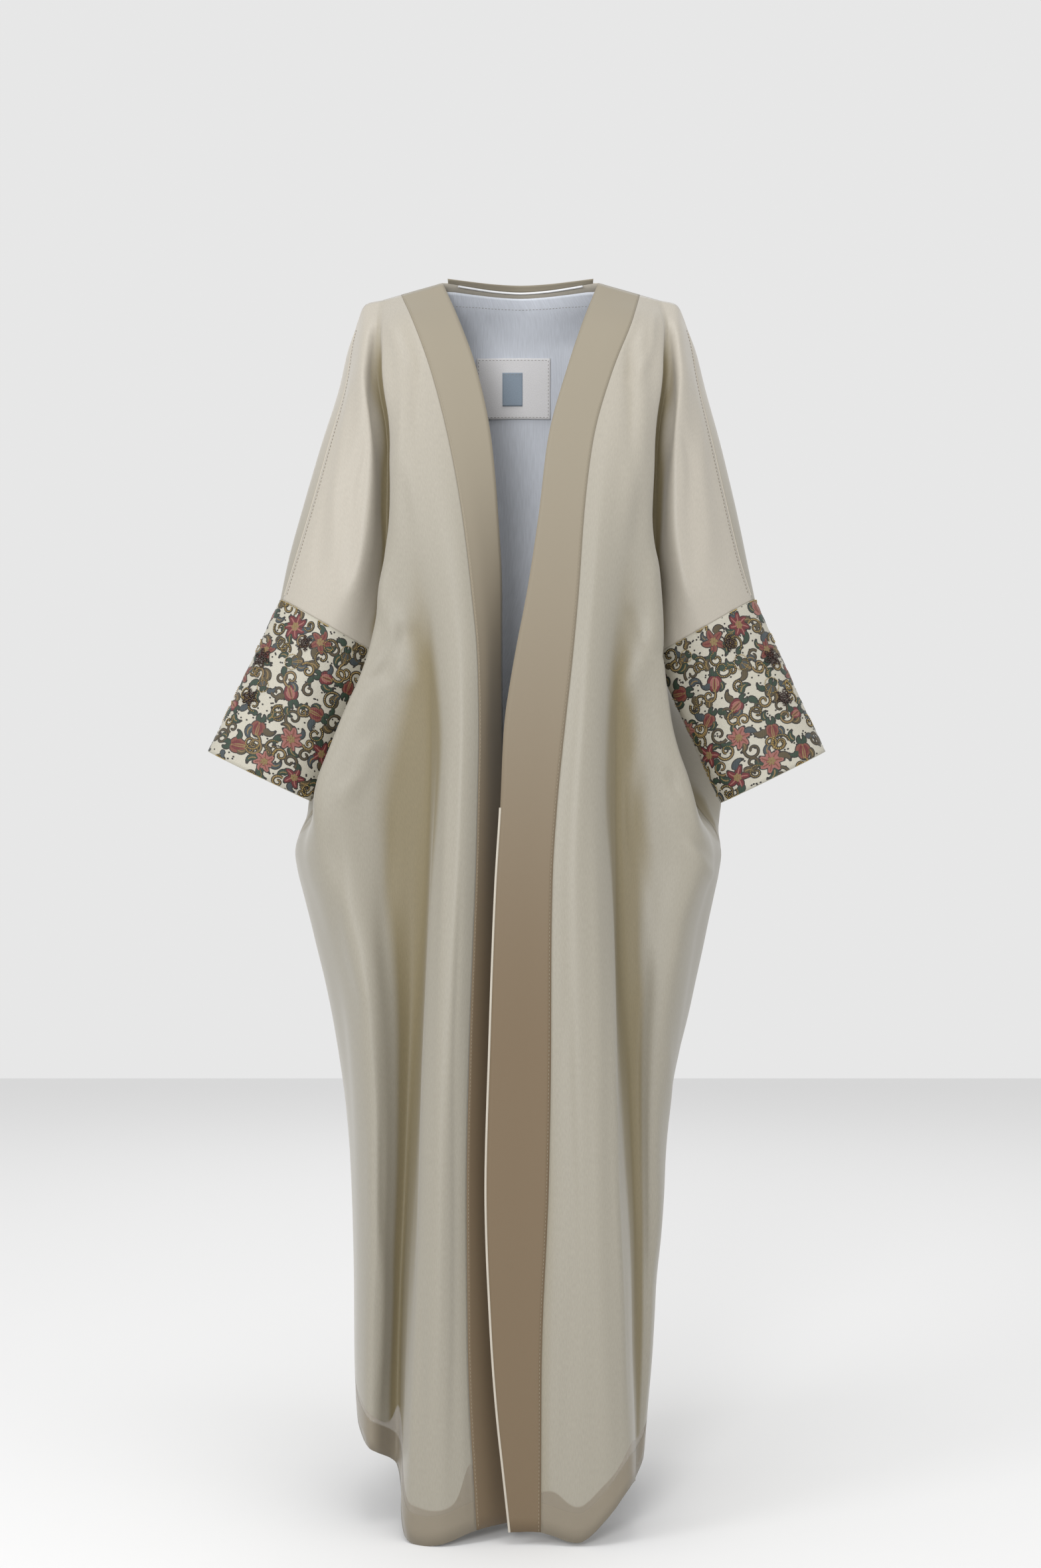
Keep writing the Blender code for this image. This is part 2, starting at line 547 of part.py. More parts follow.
def build_fronts_and_back(sections_by_side):
    """The bands, the fronts and the back as grids that share their seam points."""
    section_count = len(back_sections)
    last = len(front_stations_in_order) - 1
    sleeve_rows = (len(sleeve_sections) - 1) * rows_per_section
    grids = {}
    back_halves = {}
    sleeve_backs = {}
    for side, (word, sections, recede) in sections_by_side.items():
        front = front_stations(sections, side, recede)
        sleeve = sleeve_stations(sections, side)
        back = back_stations(sections, sleeve, side)
        front_fill = sub_rows(front, section_count)
        sleeve_fill = sub_rows(sleeve, len(sleeve_sections))
        back_fill = sub_rows(back, section_count)
        back_fill[sleeve_rows:, 0] = front_fill[sleeve_rows:, last]
        # Above the cuff seam the curve runs on into the sleeve; below it, into the back
        high = slice(0, sleeve_rows)
        low = slice(sleeve_rows, None)
        with_sleeve = np.concatenate((front_fill[high], sleeve_fill[:sleeve_rows, 1:3]), axis=1)
        body_high = through(with_sleeve, (band_count,) + front_counts, 0, last)
        with_back = np.concatenate((front_fill[low], back_fill[low][:, 1:2]), axis=1)
        body_low = through(with_back, (band_count,) + front_counts, 0, last)
        body = np.concatenate((body_high, body_low))
        # Towards the cuff seam the curve closes into the loop that the cuff is sewn to
        from_cuff = (sleeve_rows - np.arange(sleeve_rows + 1))[:, None, None]
        close = smooth_step(1 - from_cuff / loop_rows) * loop_close
        close_back = smooth_step(1 - from_cuff / loop_rows_back) * loop_close
        before = front_fill[:sleeve_rows + 1, last - 1:last]
        before = before * (1 - close) + sleeve_fill[:, 4:5] * close
        beyond = back_fill[:sleeve_rows + 1, 1:2]
        beyond = beyond * (1 - close_back) + sleeve_fill[:, 1:2] * close_back
        whole_front = np.concatenate((before, sleeve_fill[:, :4]), axis=1)
        sleeve_front = through(whole_front, sleeve_counts, 1, 3)
        whole_back = np.concatenate((sleeve_fill[:, 1:6], beyond), axis=1)
        sleeve_back = through(whole_back, sleeve_back_counts, 1, 4)
        sleeve_back[0] = sleeve_front[0, ::-1]
        sleeve_back[-1, -1] = sleeve_front[-1, 0]
        half_high = np.concatenate((sleeve_fill[:sleeve_rows, 4:5], back_fill[high]), axis=1)
        half_low = np.concatenate((front_fill[low][:, last - 1:last], back_fill[low]), axis=1)
        mirror = np.array((-1.0, 1.0, 1.0))
        half = np.concatenate((half_high, half_low))
        half = np.concatenate((half, half[:, -2:-1] * mirror), axis=1)
        corner = np.zeros(len(half))
        corner[0] = 1.0
        corner[1] = 0.4
        back_halves[side] = through(half, back_counts, 1, 5, sharp=(4, corner))
        sleeve_backs[side] = sleeve_back
        pad_rows = len(body) - len(sleeve_front)
        pad = np.repeat(sleeve_front[-1:, 1:], pad_rows, axis=0)
        outer = np.concatenate((sleeve_front[:, 1:], pad))
        grids["band_" + word] = body[:, :band_count + 1]
        grids["front_" + word] = np.concatenate((body[:, band_count:], outer), axis=1)
    right_sleeve = sleeve_backs[-1][:, :-1]
    left_sleeve = sleeve_backs[1][:, ::-1][:, 1:]
    pad_rows = len(back_halves[-1]) - len(right_sleeve)
    right_sleeve = np.concatenate((right_sleeve, np.repeat(right_sleeve[-1:], pad_rows, axis=0)))
    left_sleeve = np.concatenate((left_sleeve, np.repeat(left_sleeve[-1:], pad_rows, axis=0)))
    grids["back"] = np.concatenate((right_sleeve, back_halves[-1],
                                    back_halves[1][:, ::-1][:, 1:], left_sleeve), axis=1)
    return grids, sleeve_backs, sleeve_rows


def edge_fade(shape, sleeve_rows, seams):
    """Nought at the seam rows and columns, growing to one inside the panel."""
    rows, cols = shape
    fade = np.ones((rows, cols))
    fade *= smooth_step(np.arange(rows) / 4.0)[:, None]
    for seam in seams:
        fade *= smooth_step(np.abs(np.arange(cols) - seam) / 2.0)[None, :]
    near_cuff = smooth_step(np.abs(np.arange(rows) - sleeve_rows) / 3.0)
    return fade, near_cuff


def cuff_grid(front_grid, back_sleeve, body_cols, sleeve_rows, side):
    """A cuff as a tube from the sleeve's end down to its open hem."""
    front_half = front_grid[sleeve_rows, body_cols:]
    back_half = back_sleeve[-1, 1:]
    top = np.concatenate((front_half, back_half[:-1]))
    inner, outer = top[0], front_half[-1]
    wide = outer - inner
    wide = wide / np.linalg.norm(wide)
    thick = np.array((0.0, 1.0, 0.0))
    thick = thick - wide * thick.dot(wide)
    thick = thick / np.linalg.norm(thick)
    centre = (inner + outer) / 2
    reach = np.linalg.norm(outer - inner) / 2
    across = (top - centre).dot(wide) / reach
    depth = (top - centre).dot(thick)
    half_depth = max(abs(depth.min()), abs(depth.max()))
    angle = np.arctan2(depth / half_depth, across)
    (near_x, near_z), (far_x, far_z) = cuff_corners["right" if side < 0 else "left"]
    near = np.array((side * near_x, cuff_end_y, near_z))
    far = np.array((side * far_x, cuff_end_y, far_z))
    bottom = ((near + far) / 2 + np.outer(np.cos(angle), far - near) / 2
              + np.outer(np.sin(angle), (0.0, 1.0, 0.0)) * cuff_depth / 2)
    share = np.linspace(0.0, 1.0, cuff_rows + 1)[:, None, None]
    grid = top[None] * (1 - share) + bottom[None] * share
    grid[0, 0] += wide * junction_clear
    return np.concatenate((grid, grid[:, :1]), axis=1)


def tube_sheet(name, slot, grid, outward):
    """A grid whose last column is its first, joined into a tube."""
    rows, cols = grid.shape[0], grid.shape[1] - 1
    flat = grid[:, :-1].reshape(-1, 3).copy()
    faces = []
    for row in range(rows - 1):
        for col in range(cols):
            a, b = row * cols + col, row * cols + (col + 1) % cols
            c, d = a + cols, b + cols
            faces.append((a, c, d, b) if outward > 0 else (a, b, d, c))
    return {"name": name, "slot": slot, "points": flat, "normals": face_normals(flat, faces),
            "faces": faces}


def sample_grid(grid, x, z):
    """The point of a grid seen from the front at a given width and height."""
    best = None
    rows, cols = grid.shape[:2]
    row, col = rows / 4, cols / 2
    for _ in range(60):
        r, c = int(min(max(row, 0), rows - 2)), int(min(max(col, 0), cols - 2))
        fr, fc = row - r, col - c
        a, b, d, e = grid[r, c], grid[r, c + 1], grid[r + 1, c], grid[r + 1, c + 1]
        best = (a * (1 - fr) + d * fr) * (1 - fc) + (b * (1 - fr) + e * fr) * fc
        by_row = (d - a) * (1 - fc) + (e - b) * fc
        by_col = (b - a) * (1 - fr) + (e - d) * fr
        matrix = np.array(((by_row[0], by_col[0]), (by_row[2], by_col[2])))
        change = np.linalg.solve(matrix, np.array((x - best[0], z - best[2])))
        row, col = row + np.clip(change[0], -2, 2), col + np.clip(change[1], -2, 2)
    return best


def rectangle_on(grid, sides, counts, lift):
    """A rectangle of points lying on a grid, moved towards the front by lift."""
    left, right, top, bottom = sides
    across, down = counts
    points = np.empty((down + 1, across + 1, 3))
    for row in range(down + 1):
        for col in range(across + 1):
            x = left + (right - left) * col / across
            z = top + (bottom - top) * row / down
            points[row, col] = sample_grid(grid, x, z)
    points[..., 1] -= lift
    return points


def lining_sheet(back, normals, sleeve_cols):
    """The lining of the back, seen through the open neck: the back's points moved in."""
    first = sleeve_cols + back_counts[0]
    last = back.shape[1] - first
    rows = list(lining_rows) + list(range(lining_rows[-1] + 2, lining_last_row + 1, 2))
    inward = back - normals * (cloth_wall / 2 + lining_gap + lining_wall / 2)
    top = inward[0] * (1 - lining_top) + inward[1] * lining_top
    grid = np.concatenate((top[None], inward[rows]))[:, first:last]
    return make_sheet("back_lining", "lining", grid, -1)


def neck_band_sheet(back, sleeve_cols):
    """The narrow band that stands on the neck edge of the back."""
    first = sleeve_cols + sum(back_counts[:3])
    last = back.shape[1] - first
    edge = back[0, first:last].copy()
    edge[0] = edge[0] * (1 - neck_band_start) + edge[1] * neck_band_start
    edge[-1] = edge[-1] * (1 - neck_band_start) + edge[-2] * neck_band_start
    below = back[1, first:last]
    rise = edge - below
    rise[:, 0] *= 0.3
    rise = rise / np.linalg.norm(rise, axis=1, keepdims=True)
    upper = edge + rise * neck_band_height
    edge[[0, -1]] += rise[[0, -1]] * neck_band_lift
    return make_sheet("neck_band", "front_band", np.stack((upper, edge)), -1)


def clear_scene():
    for item in list(bpy.data.objects):
        bpy.data.objects.remove(item, do_unlink=True)


def build():
    clear_scene()
    collection = bpy.data.collections.new("embroidered_abaya")
    bpy.context.scene.collection.children.link(collection)
    sections_by_side = {-1: ("right", front_right_sections, 1.0),
                        1: ("left", front_left_sections, 0.0)}
    grids, sleeve_backs, sleeve_rows = build_fronts_and_back(sections_by_side)
    body_cols = sum(front_counts)
    sleeve_cols = sum(sleeve_counts)
    sheets = []
    junctions = [grids["front_" + word][sleeve_rows, body_cols].copy()
                 for word in ("right", "left")]
    for side, word, folds in ((-1, "right", front_right_folds), (1, "left", front_left_folds)):
        front = grids["front_" + word]
        rows, cols = front.shape[:2]
        fade, near_cuff = edge_fade((rows, cols), sleeve_rows, (0, body_cols, cols - 1))
        fade[:, body_cols:] *= near_cuff[:, None]
        moved = add_folds(front, side, folds, fade, rows - 1)
        moved[sleeve_rows:, body_cols:] = front[sleeve_rows:, body_cols:]
        present = np.ones((rows - 1, cols - 1), dtype=bool)
        present[sleeve_rows:, body_cols:] = False
        sheets.append(make_sheet("front_" + word, "outer_cloth", moved, side, present))
        sheets.append(make_sheet("band_" + word, "front_band", grids["band_" + word], side))
        cuff = cuff_grid(front, sleeve_backs[side], body_cols, sleeve_rows, side)
        sheets.append(tube_sheet("cuff_" + word, "cuff_brocade", cuff, side))
    back = grids["back"]
    rows, cols = back.shape[:2]
    seams = (0, sleeve_cols, cols - 1 - sleeve_cols, cols - 1)
    fade, near_cuff = edge_fade((rows, cols), sleeve_rows, seams)
    moved = add_folds(back, -1, back_folds, fade, rows - 1)
    for start, end in ((0, sleeve_cols), (cols - sleeve_cols, cols)):
        moved[:, start:end] = back[:, start:end]
    present = np.ones((rows - 1, cols - 1), dtype=bool)
    present[sleeve_rows:, :sleeve_cols] = False
    present[sleeve_rows:, cols - 1 - sleeve_cols:] = False
    sheets.append(make_sheet("back", "outer_cloth", moved, -1, present))
    sheets.append(neck_band_sheet(moved, sleeve_cols))
    for sheet in sheets:
        if sheet["slot"] == "outer_cloth":
            relax(sheet, junctions)
    whole = next(sheet for sheet in sheets if sheet["name"] == "back")
    sheets.remove(whole)
    columns = np.nonzero(present)[1]
    on_right, on_left = columns < sleeve_cols, columns >= cols - 1 - sleeve_cols
    for name, kept in (("back_sleeve_right", on_right), ("back", ~(on_right | on_left)),
                       ("back_sleeve_left", on_left)):
        sheets.append(part_of_sheet(whole, name, kept))
    share_normals(sheets, junctions)
    for sheet in sheets:
        inset(sheet, junctions)
    lining = lining_sheet(moved, surface_normals(moved, -1), sleeve_cols)
    patch = rectangle_on(lining["grid"], patch_sides, patch_grid,
                         lining_wall / 2 + patch_gap + label_wall / 2)
    label = rectangle_on(patch, label_sides, label_grid, label_wall + seam_gap)
    sheets.append(lining)
    sheets.append(make_sheet("label_patch", "patch_cloth", patch, -1))
    sheets.append(make_sheet("label", "label_weave", label, -1))
    walls = {"outer_cloth": cloth_wall, "front_band": band_wall, "cuff_brocade": cuff_wall,
             "lining": lining_wall, "patch_cloth": label_wall, "label_weave": label_wall}
    for sheet in sheets:
        add_shell(sheet, walls[sheet["slot"]], collection)


build()
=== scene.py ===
# Embroidered open-front abaya: the look of the cloth, cuffs, bands and stitching
import math
import bpy
import numpy as np
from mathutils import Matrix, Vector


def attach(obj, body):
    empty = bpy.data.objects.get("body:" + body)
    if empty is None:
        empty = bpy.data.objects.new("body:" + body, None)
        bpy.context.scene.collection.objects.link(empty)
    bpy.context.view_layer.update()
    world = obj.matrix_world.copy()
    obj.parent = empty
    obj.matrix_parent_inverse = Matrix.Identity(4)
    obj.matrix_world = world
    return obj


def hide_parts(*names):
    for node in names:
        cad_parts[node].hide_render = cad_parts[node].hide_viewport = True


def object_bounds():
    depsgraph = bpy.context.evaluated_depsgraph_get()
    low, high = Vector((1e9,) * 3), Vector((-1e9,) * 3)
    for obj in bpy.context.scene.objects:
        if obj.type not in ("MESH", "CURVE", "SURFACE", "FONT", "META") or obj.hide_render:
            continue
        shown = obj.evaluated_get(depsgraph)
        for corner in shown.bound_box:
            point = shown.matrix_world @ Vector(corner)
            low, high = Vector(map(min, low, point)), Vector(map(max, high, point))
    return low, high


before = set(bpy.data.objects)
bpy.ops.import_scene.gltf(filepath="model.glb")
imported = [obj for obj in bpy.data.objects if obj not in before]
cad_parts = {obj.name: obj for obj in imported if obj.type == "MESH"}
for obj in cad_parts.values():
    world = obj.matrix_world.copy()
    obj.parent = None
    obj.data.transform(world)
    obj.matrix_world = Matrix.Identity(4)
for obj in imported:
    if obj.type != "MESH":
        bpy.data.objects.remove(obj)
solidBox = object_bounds()
print("frame loaded")

# Camera and light
view = {"distance": 3.0, "height": -0.6125, "lens": 56.3, "sensor": 36.0}
floor = {"reach": 9.0, "back": 4.2, "colour": (0.80, 0.80, 0.80)}
worldStrength = 0.80
lamps = (
    # name, place, size, power, aims at
    ("frontLamp", (-0.6, -3.4, 0.1), 0.9, 47.0, (0.0, 0.0, -0.4)),
    ("keyLamp", (-2.4, -1.8, 0.7), 1.2, 21.0, (0.0, 0.0, -0.5)),
    ("fillLamp", (2.6, -1.6, 0.6), 1.4, 6.0, (0.0, 0.0, -0.5)),
    ("topLamp", (0.0, -0.8, 2.0), 1.2, 14.0, (0.0, 0.0, -0.3)),
    ("backLamp", (0.0, 2.6, 0.9), 2.4, 12.0, (0.0, 0.0, -0.6)),
)


def addItem(name, data):
    item = bpy.data.objects.new(name, data)
    bpy.context.scene.collection.objects.link(item)
    return item


def aimAt(item, target):
    place = np.array(item.location)
    way = np.array(target) - place
    flat = math.hypot(way[0], way[1])
    item.rotation_euler = (math.atan2(flat, -way[2]), 0.0, math.atan2(way[1], way[0]) - math.pi / 2)


def setCamera():
    data = bpy.data.cameras.new("photoCamera")
    data.sensor_fit = "VERTICAL"
    data.sensor_height = view["sensor"]
    data.lens = view["lens"]
    camera = addItem("photoCamera", data)
    camera.location = (0.0, -view["distance"], view["height"])
    camera.rotation_euler = (math.pi / 2, 0.0, 0.0)
    bpy.context.scene.camera = camera


def setLights():
    for name, place, size, power, target in lamps:
        data = bpy.data.lights.new(name, "AREA")
        data.shape = "DISK"
        data.size = size
        data.energy = power
        lamp = addItem(name, data)
        lamp.location = place
        aimAt(lamp, target)
    world = bpy.data.worlds.new("studio")
    world.use_nodes = True
    background = world.node_tree.nodes["Background"]
    background.inputs["Color"].default_value = (1.0, 1.0, 1.0, 1.0)
    background.inputs["Strength"].default_value = worldStrength
    bpy.context.scene.world = world
    bpy.context.scene.view_settings.view_transform = "Standard"


def setFloor():
    low = solidBox[0][2]
    reach, back = floor["reach"], floor["back"]
    corners = [(-reach, -reach, low), (reach, -reach, low), (reach, back, low), (-reach, back, low)]
    mesh = bpy.data.meshes.new("studioFloor")
    mesh.from_pydata(corners, [], [(0, 1, 2, 3)])
    item = addItem("studioFloor", mesh)
    paint = bpy.data.materials.new("palePaint")
    paint.use_nodes = True
    shader = paint.node_tree.nodes["Principled BSDF"]
    shader.inputs["Base Color"].default_value = (*floor["colour"], 1.0)
    shader.inputs["Roughness"].default_value = 0.9
    mesh.materials.append(paint)


setCamera()
setLights()
setFloor()
print("camera, lights and floor set")

sideWord = {-1: "Right", 1: "Left"}
nodeWord = {-1: "right", 1: "left"}

# Sizes and sections of the garment, as the solids have them
rowsPerSection = 3
loopRows = 4
loopRowsBack = 2
loopClose = 0.5
relaxReach = 0.060
relaxPasses = 12

cuffRows = 5
cuffDepth = 0.058
# Lower corners of each cuff, towards the body and away from it: width and height
cuffCorners = {"right": ((0.2540, -0.6330), (0.3770, -0.5735)),
               "left": ((0.2430, -0.6350), (0.3680, -0.5735))}
cuffEndY = -0.034
neckBandHeight = 0.009
neckBandStart = 0.20
neckBandLift = 0.0012

liningTop = 0.3
liningRows = (1, 2, 3, 4)
liningLastRow = 40
shoulderDrop = 0.285
neckHalfWidth = 0.095

# Height and width of each section of a front, from the shoulder seam down to the hem.
# Widths are measured outward from the middle of the body to: the free edge of the band,
# the band seam, the column fold beside it, the hollow behind that fold, the ridge in
# front of the arm, and the valley under the arm, which is the side seam from the cuff down.
frontColumns = ("zFront", "zBrink", "zSide", "edge", "seam", "column", "brink", "hollow",
                "crest", "tuck", "side")
frontRightSections = (
    (-0.014, -0.014, -0.0214, 0.0950, 0.1460, 0.1510, 0.1550, 0.1590, 0.1645, 0.1672, 0.1700),
    (-0.060, -0.060, -0.060, 0.0720, 0.1280, 0.1370, 0.1450, 0.1540, 0.1660, 0.1680, 0.1730),
    (-0.120, -0.120, -0.120, 0.0520, 0.1070, 0.1210, 0.1340, 0.1480, 0.1650, 0.1640, 0.1720),
    (-0.205, -0.205, -0.205, 0.0345, 0.0850, 0.1040, 0.1200, 0.1370, 0.1540, 0.1520, 0.1600),
    (-0.295, -0.295, -0.295, 0.0265, 0.0685, 0.0920, 0.1100, 0.1300, 0.1570, 0.1530, 0.1610),
    (-0.385, -0.385, -0.385, 0.0220, 0.0575, 0.0800, 0.0980, 0.1220, 0.1650, 0.1570, 0.1650),
    (-0.470, -0.470, -0.457, 0.0220, 0.0500, 0.0710, 0.0890, 0.1160, 0.1810, 0.1620, 0.1700),
    (-0.550, -0.550, -0.545, 0.0215, 0.0485, 0.0690, 0.0870, 0.1130, 0.2160, 0.1900, 0.1880),
    (-0.640, -0.640, -0.625, 0.0200, 0.0500, 0.0710, 0.0910, 0.1160, 0.2420, 0.2340, 0.2380),
    (-0.720, -0.720, -0.690, 0.0180, 0.0520, 0.0740, 0.0950, 0.1200, 0.2300, 0.2620, 0.2760),
    (-0.800, -0.800, -0.775, 0.0160, 0.0550, 0.0780, 0.0990, 0.1240, 0.2000, 0.2400, 0.2580),
    (-0.920, -0.920, -0.890, 0.0140, 0.0590, 0.0830, 0.1050, 0.1290, 0.1740, 0.2120, 0.2320),
    (-1.080, -1.080, -1.040, 0.0120, 0.0620, 0.0890, 0.1120, 0.1350, 0.1660, 0.1960, 0.2110),
    (-1.270, -1.270, -1.210, 0.0100, 0.0600, 0.0910, 0.1200, 0.1420, 0.1700, 0.1920, 0.2020),
    (-1.462, -1.474, -1.335, 0.0060, 0.0500, 0.0930, 0.1290, 0.1450, 0.1740, 0.1920, 0.2000),
)
frontLeftSections = (
    (-0.014, -0.014, -0.0214, 0.0950, 0.1460, 0.1510, 0.1550, 0.1590, 0.1645, 0.1672, 0.1700),
    (-0.060, -0.060, -0.060, 0.0740, 0.1330, 0.1420, 0.1500, 0.1590, 0.1720, 0.1735, 0.1780),
    (-0.120, -0.120, -0.120, 0.0550, 0.1100, 0.1240, 0.1370, 0.1520, 0.1700, 0.1690, 0.1760),
    (-0.205, -0.205, -0.205, 0.0325, 0.0860, 0.1050, 0.1210, 0.1390, 0.1590, 0.1570, 0.1650),
    (-0.295, -0.295, -0.295, 0.0215, 0.0745, 0.0940, 0.1110, 0.1310, 0.1580, 0.1540, 0.1620),
    (-0.385, -0.385, -0.385, 0.0080, 0.0680, 0.0870, 0.1030, 0.1250, 0.1650, 0.1560, 0.1650),
    (-0.470, -0.470, -0.457, -0.0080, 0.0600, 0.0800, 0.0970, 0.1200, 0.1690, 0.1530, 0.1620),
    (-0.550, -0.550, -0.545, -0.0195, 0.0510, 0.0740, 0.0940, 0.1170, 0.1800, 0.1620, 0.1680),
    (-0.640, -0.640, -0.625, -0.0235, 0.0420, 0.0680, 0.0930, 0.1160, 0.2040, 0.1980, 0.2060),
    (-0.720, -0.720, -0.690, -0.0285, 0.0370, 0.0650, 0.0960, 0.1180, 0.2120, 0.2340, 0.2460),
    (-0.800, -0.800, -0.775, -0.0320, 0.0355, 0.0660, 0.0990, 0.1210, 0.1880, 0.2150, 0.2310),
    (-0.920, -0.920, -0.890, -0.0360, 0.0350, 0.0690, 0.1060, 0.1270, 0.1660, 0.1920, 0.2060),
    (-1.080, -1.080, -1.050, -0.0400, 0.0320, 0.0740, 0.1150, 0.1330, 0.1560, 0.1660, 0.1690),
    (-1.270, -1.262, -1.230, -0.0320, 0.0240, 0.0740, 0.1240, 0.1380, 0.1540, 0.1600, 0.1620),
    (-1.462, -1.412, -1.370, -0.0125, 0.0230, 0.0700, 0.1260, 0.1340, 0.1440, 0.1490, 0.1510),
)
# Depth of the same stations, front to back, for both fronts. The right band turns back
# into the body by its recede, and the left front lies over the right one by its lap.
depthColumns = ("seam", "column", "brink", "hollow", "crest", "tuck", "side", "recede", "lap",
                "leftHollow", "leftCrest")
frontDepths = (
    (0.000, 0.000, 0.000, 0.000, 0.000, 0.000, 0.000, 0.000, 0.000, 0.000, 0.000),
    (-0.060, -0.057, -0.054, -0.050, -0.042, -0.038, -0.034, 0.004, 0.000, -0.050, -0.042),
    (-0.090, -0.088, -0.085, -0.081, -0.071, -0.059, -0.048, 0.004, 0.000, -0.081, -0.071),
    (-0.113, -0.114, -0.112, -0.107, -0.090, -0.068, -0.047, 0.010, 0.000, -0.107, -0.090),
    (-0.129, -0.131, -0.127, -0.120, -0.097, -0.070, -0.042, 0.020, 0.000, -0.120, -0.097),
    (-0.139, -0.142, -0.136, -0.122, -0.102, -0.070, -0.036, 0.032, 0.001, -0.122, -0.102),
    (-0.146, -0.152, -0.143, -0.118, -0.107, -0.066, -0.028, 0.042, 0.004, -0.119, -0.104),
    (-0.151, -0.161, -0.149, -0.112, -0.110, -0.060, -0.004, 0.047, 0.006, -0.114, -0.103),
    (-0.157, -0.169, -0.155, -0.106, -0.112, -0.050, 0.022, 0.046, 0.007, -0.109, -0.104),
    (-0.162, -0.176, -0.161, -0.102, -0.110, -0.048, 0.024, 0.045, 0.008, -0.107, -0.103),
    (-0.167, -0.182, -0.167, -0.100, -0.117, -0.052, 0.020, 0.044, 0.008, -0.107, -0.108),
    (-0.175, -0.191, -0.176, -0.101, -0.127, -0.055, 0.021, 0.042, 0.008, -0.110, -0.114),
    (-0.186, -0.202, -0.187, -0.107, -0.136, -0.055, 0.025, 0.040, 0.008, -0.118, -0.116),
    (-0.198, -0.213, -0.197, -0.117, -0.143, -0.054, 0.030, 0.038, 0.008, -0.127, -0.116),
    (-0.208, -0.222, -0.205, -0.127, -0.146, -0.052, 0.035, 0.036, 0.008, -0.134, -0.112),
)
# How far each station hangs from the height of the front towards that of the side seam
frontSag = {"edge": 0.0, "seam": 0.0, "column": -0.10, "hollow": 0.42, "crest": 0.60,
            "tuck": 0.80, "side": 1.0}
# Sleeve sections, from the shoulder tip down to the cuff seam: the ridge on the front of
# the sleeve, the seam along the top of the arm on each side, its depth and height, the
# back of the sleeve beyond that seam, the ridge behind, and the valley behind the arm.
sleeveColumns = ("ridgeRight", "ridgeLeft", "ridgeY", "overRight", "overLeft", "overY",
                 "overZ", "strip", "outY", "backY", "valleyX", "valleyY")
sleeveSections = (
    (0.1900, 0.1910, 0.000, 0.1980, 0.2000, 0.000, -0.046, 0.000, 0.000, 0.000, 0.170, 0.000),
    (0.1880, 0.1910, -0.040, 0.2050, 0.2080, -0.010, -0.078, 0.006, 0.012, 0.042, 0.173, 0.050),
    (0.1890, 0.1930, -0.063, 0.2110, 0.2150, -0.022, -0.125, 0.011, 0.010, 0.056, 0.172, 0.062),
    (0.1780, 0.1840, -0.073, 0.2310, 0.2320, -0.032, -0.200, 0.013, 0.008, 0.058, 0.166, 0.056),
    (0.1830, 0.1840, -0.075, 0.2520, 0.2490, -0.034, -0.275, 0.013, 0.007, 0.052, 0.163, 0.040),
    (0.2000, 0.1960, -0.073, 0.2720, 0.2650, -0.031, -0.340, 0.010, 0.003, 0.038, 0.166, 0.012),
    (0.2280, 0.2200, -0.064, 0.2880, 0.2810, -0.026, -0.390, 0.003, -0.008, 0.017, 0.170, -0.028),
)
# The back, from the neck edge down to the hem. The flank lies inside the side seam or the
# valley by its inset on each side; the blade and the middle are widths; all have a depth.
backColumns = ("zBack", "insetRight", "insetLeft", "flankY", "bladeX", "bladeY", "midX",
               "midY", "centreY")
backSections = (
    (0.0000, 0.010, 0.010, 0.000, 0.130, 0.000, 0.095, 0.000, 0.057),
    (-0.055, 0.013, 0.013, 0.060, 0.125, 0.080, 0.072, 0.091, 0.090),
    (-0.120, 0.015, 0.015, 0.075, 0.122, 0.098, 0.065, 0.107, 0.104),
    (-0.205, 0.014, 0.014, 0.080, 0.118, 0.110, 0.062, 0.119, 0.115),
    (-0.295, 0.012, 0.012, 0.077, 0.116, 0.108, 0.060, 0.117, 0.114),
    (-0.385, 0.008, 0.006, 0.066, 0.116, 0.102, 0.060, 0.110, 0.108),
    (-0.470, -0.010, -0.010, 0.054, 0.120, 0.098, 0.061, 0.105, 0.104),
    (-0.550, -0.030, -0.045, 0.052, 0.132, 0.100, 0.063, 0.107, 0.105),
    (-0.640, -0.024, -0.044, 0.058, 0.142, 0.107, 0.065, 0.114, 0.110),
    (-0.720, 0.010, 0.006, 0.066, 0.146, 0.113, 0.066, 0.121, 0.116),
    (-0.800, 0.016, 0.016, 0.072, 0.142, 0.119, 0.066, 0.126, 0.121),
    (-0.920, 0.018, 0.018, 0.078, 0.130, 0.124, 0.065, 0.131, 0.126),
    (-1.080, 0.016, 0.016, 0.082, 0.118, 0.127, 0.062, 0.135, 0.131),
    (-1.250, 0.014, 0.014, 0.086, 0.110, 0.131, 0.060, 0.139, 0.136),
    (-1.420, 0.012, 0.012, 0.090, 0.108, 0.136, 0.060, 0.144, 0.141),
)
frontStationsInOrder = ("edge", "seam", "column", "brink", "hollow", "crest", "tuck", "side")
backSag = {"side": 1.0, "flank": 0.9, "blade": 0.60, "mid": 0.296, "centre": 0.0}

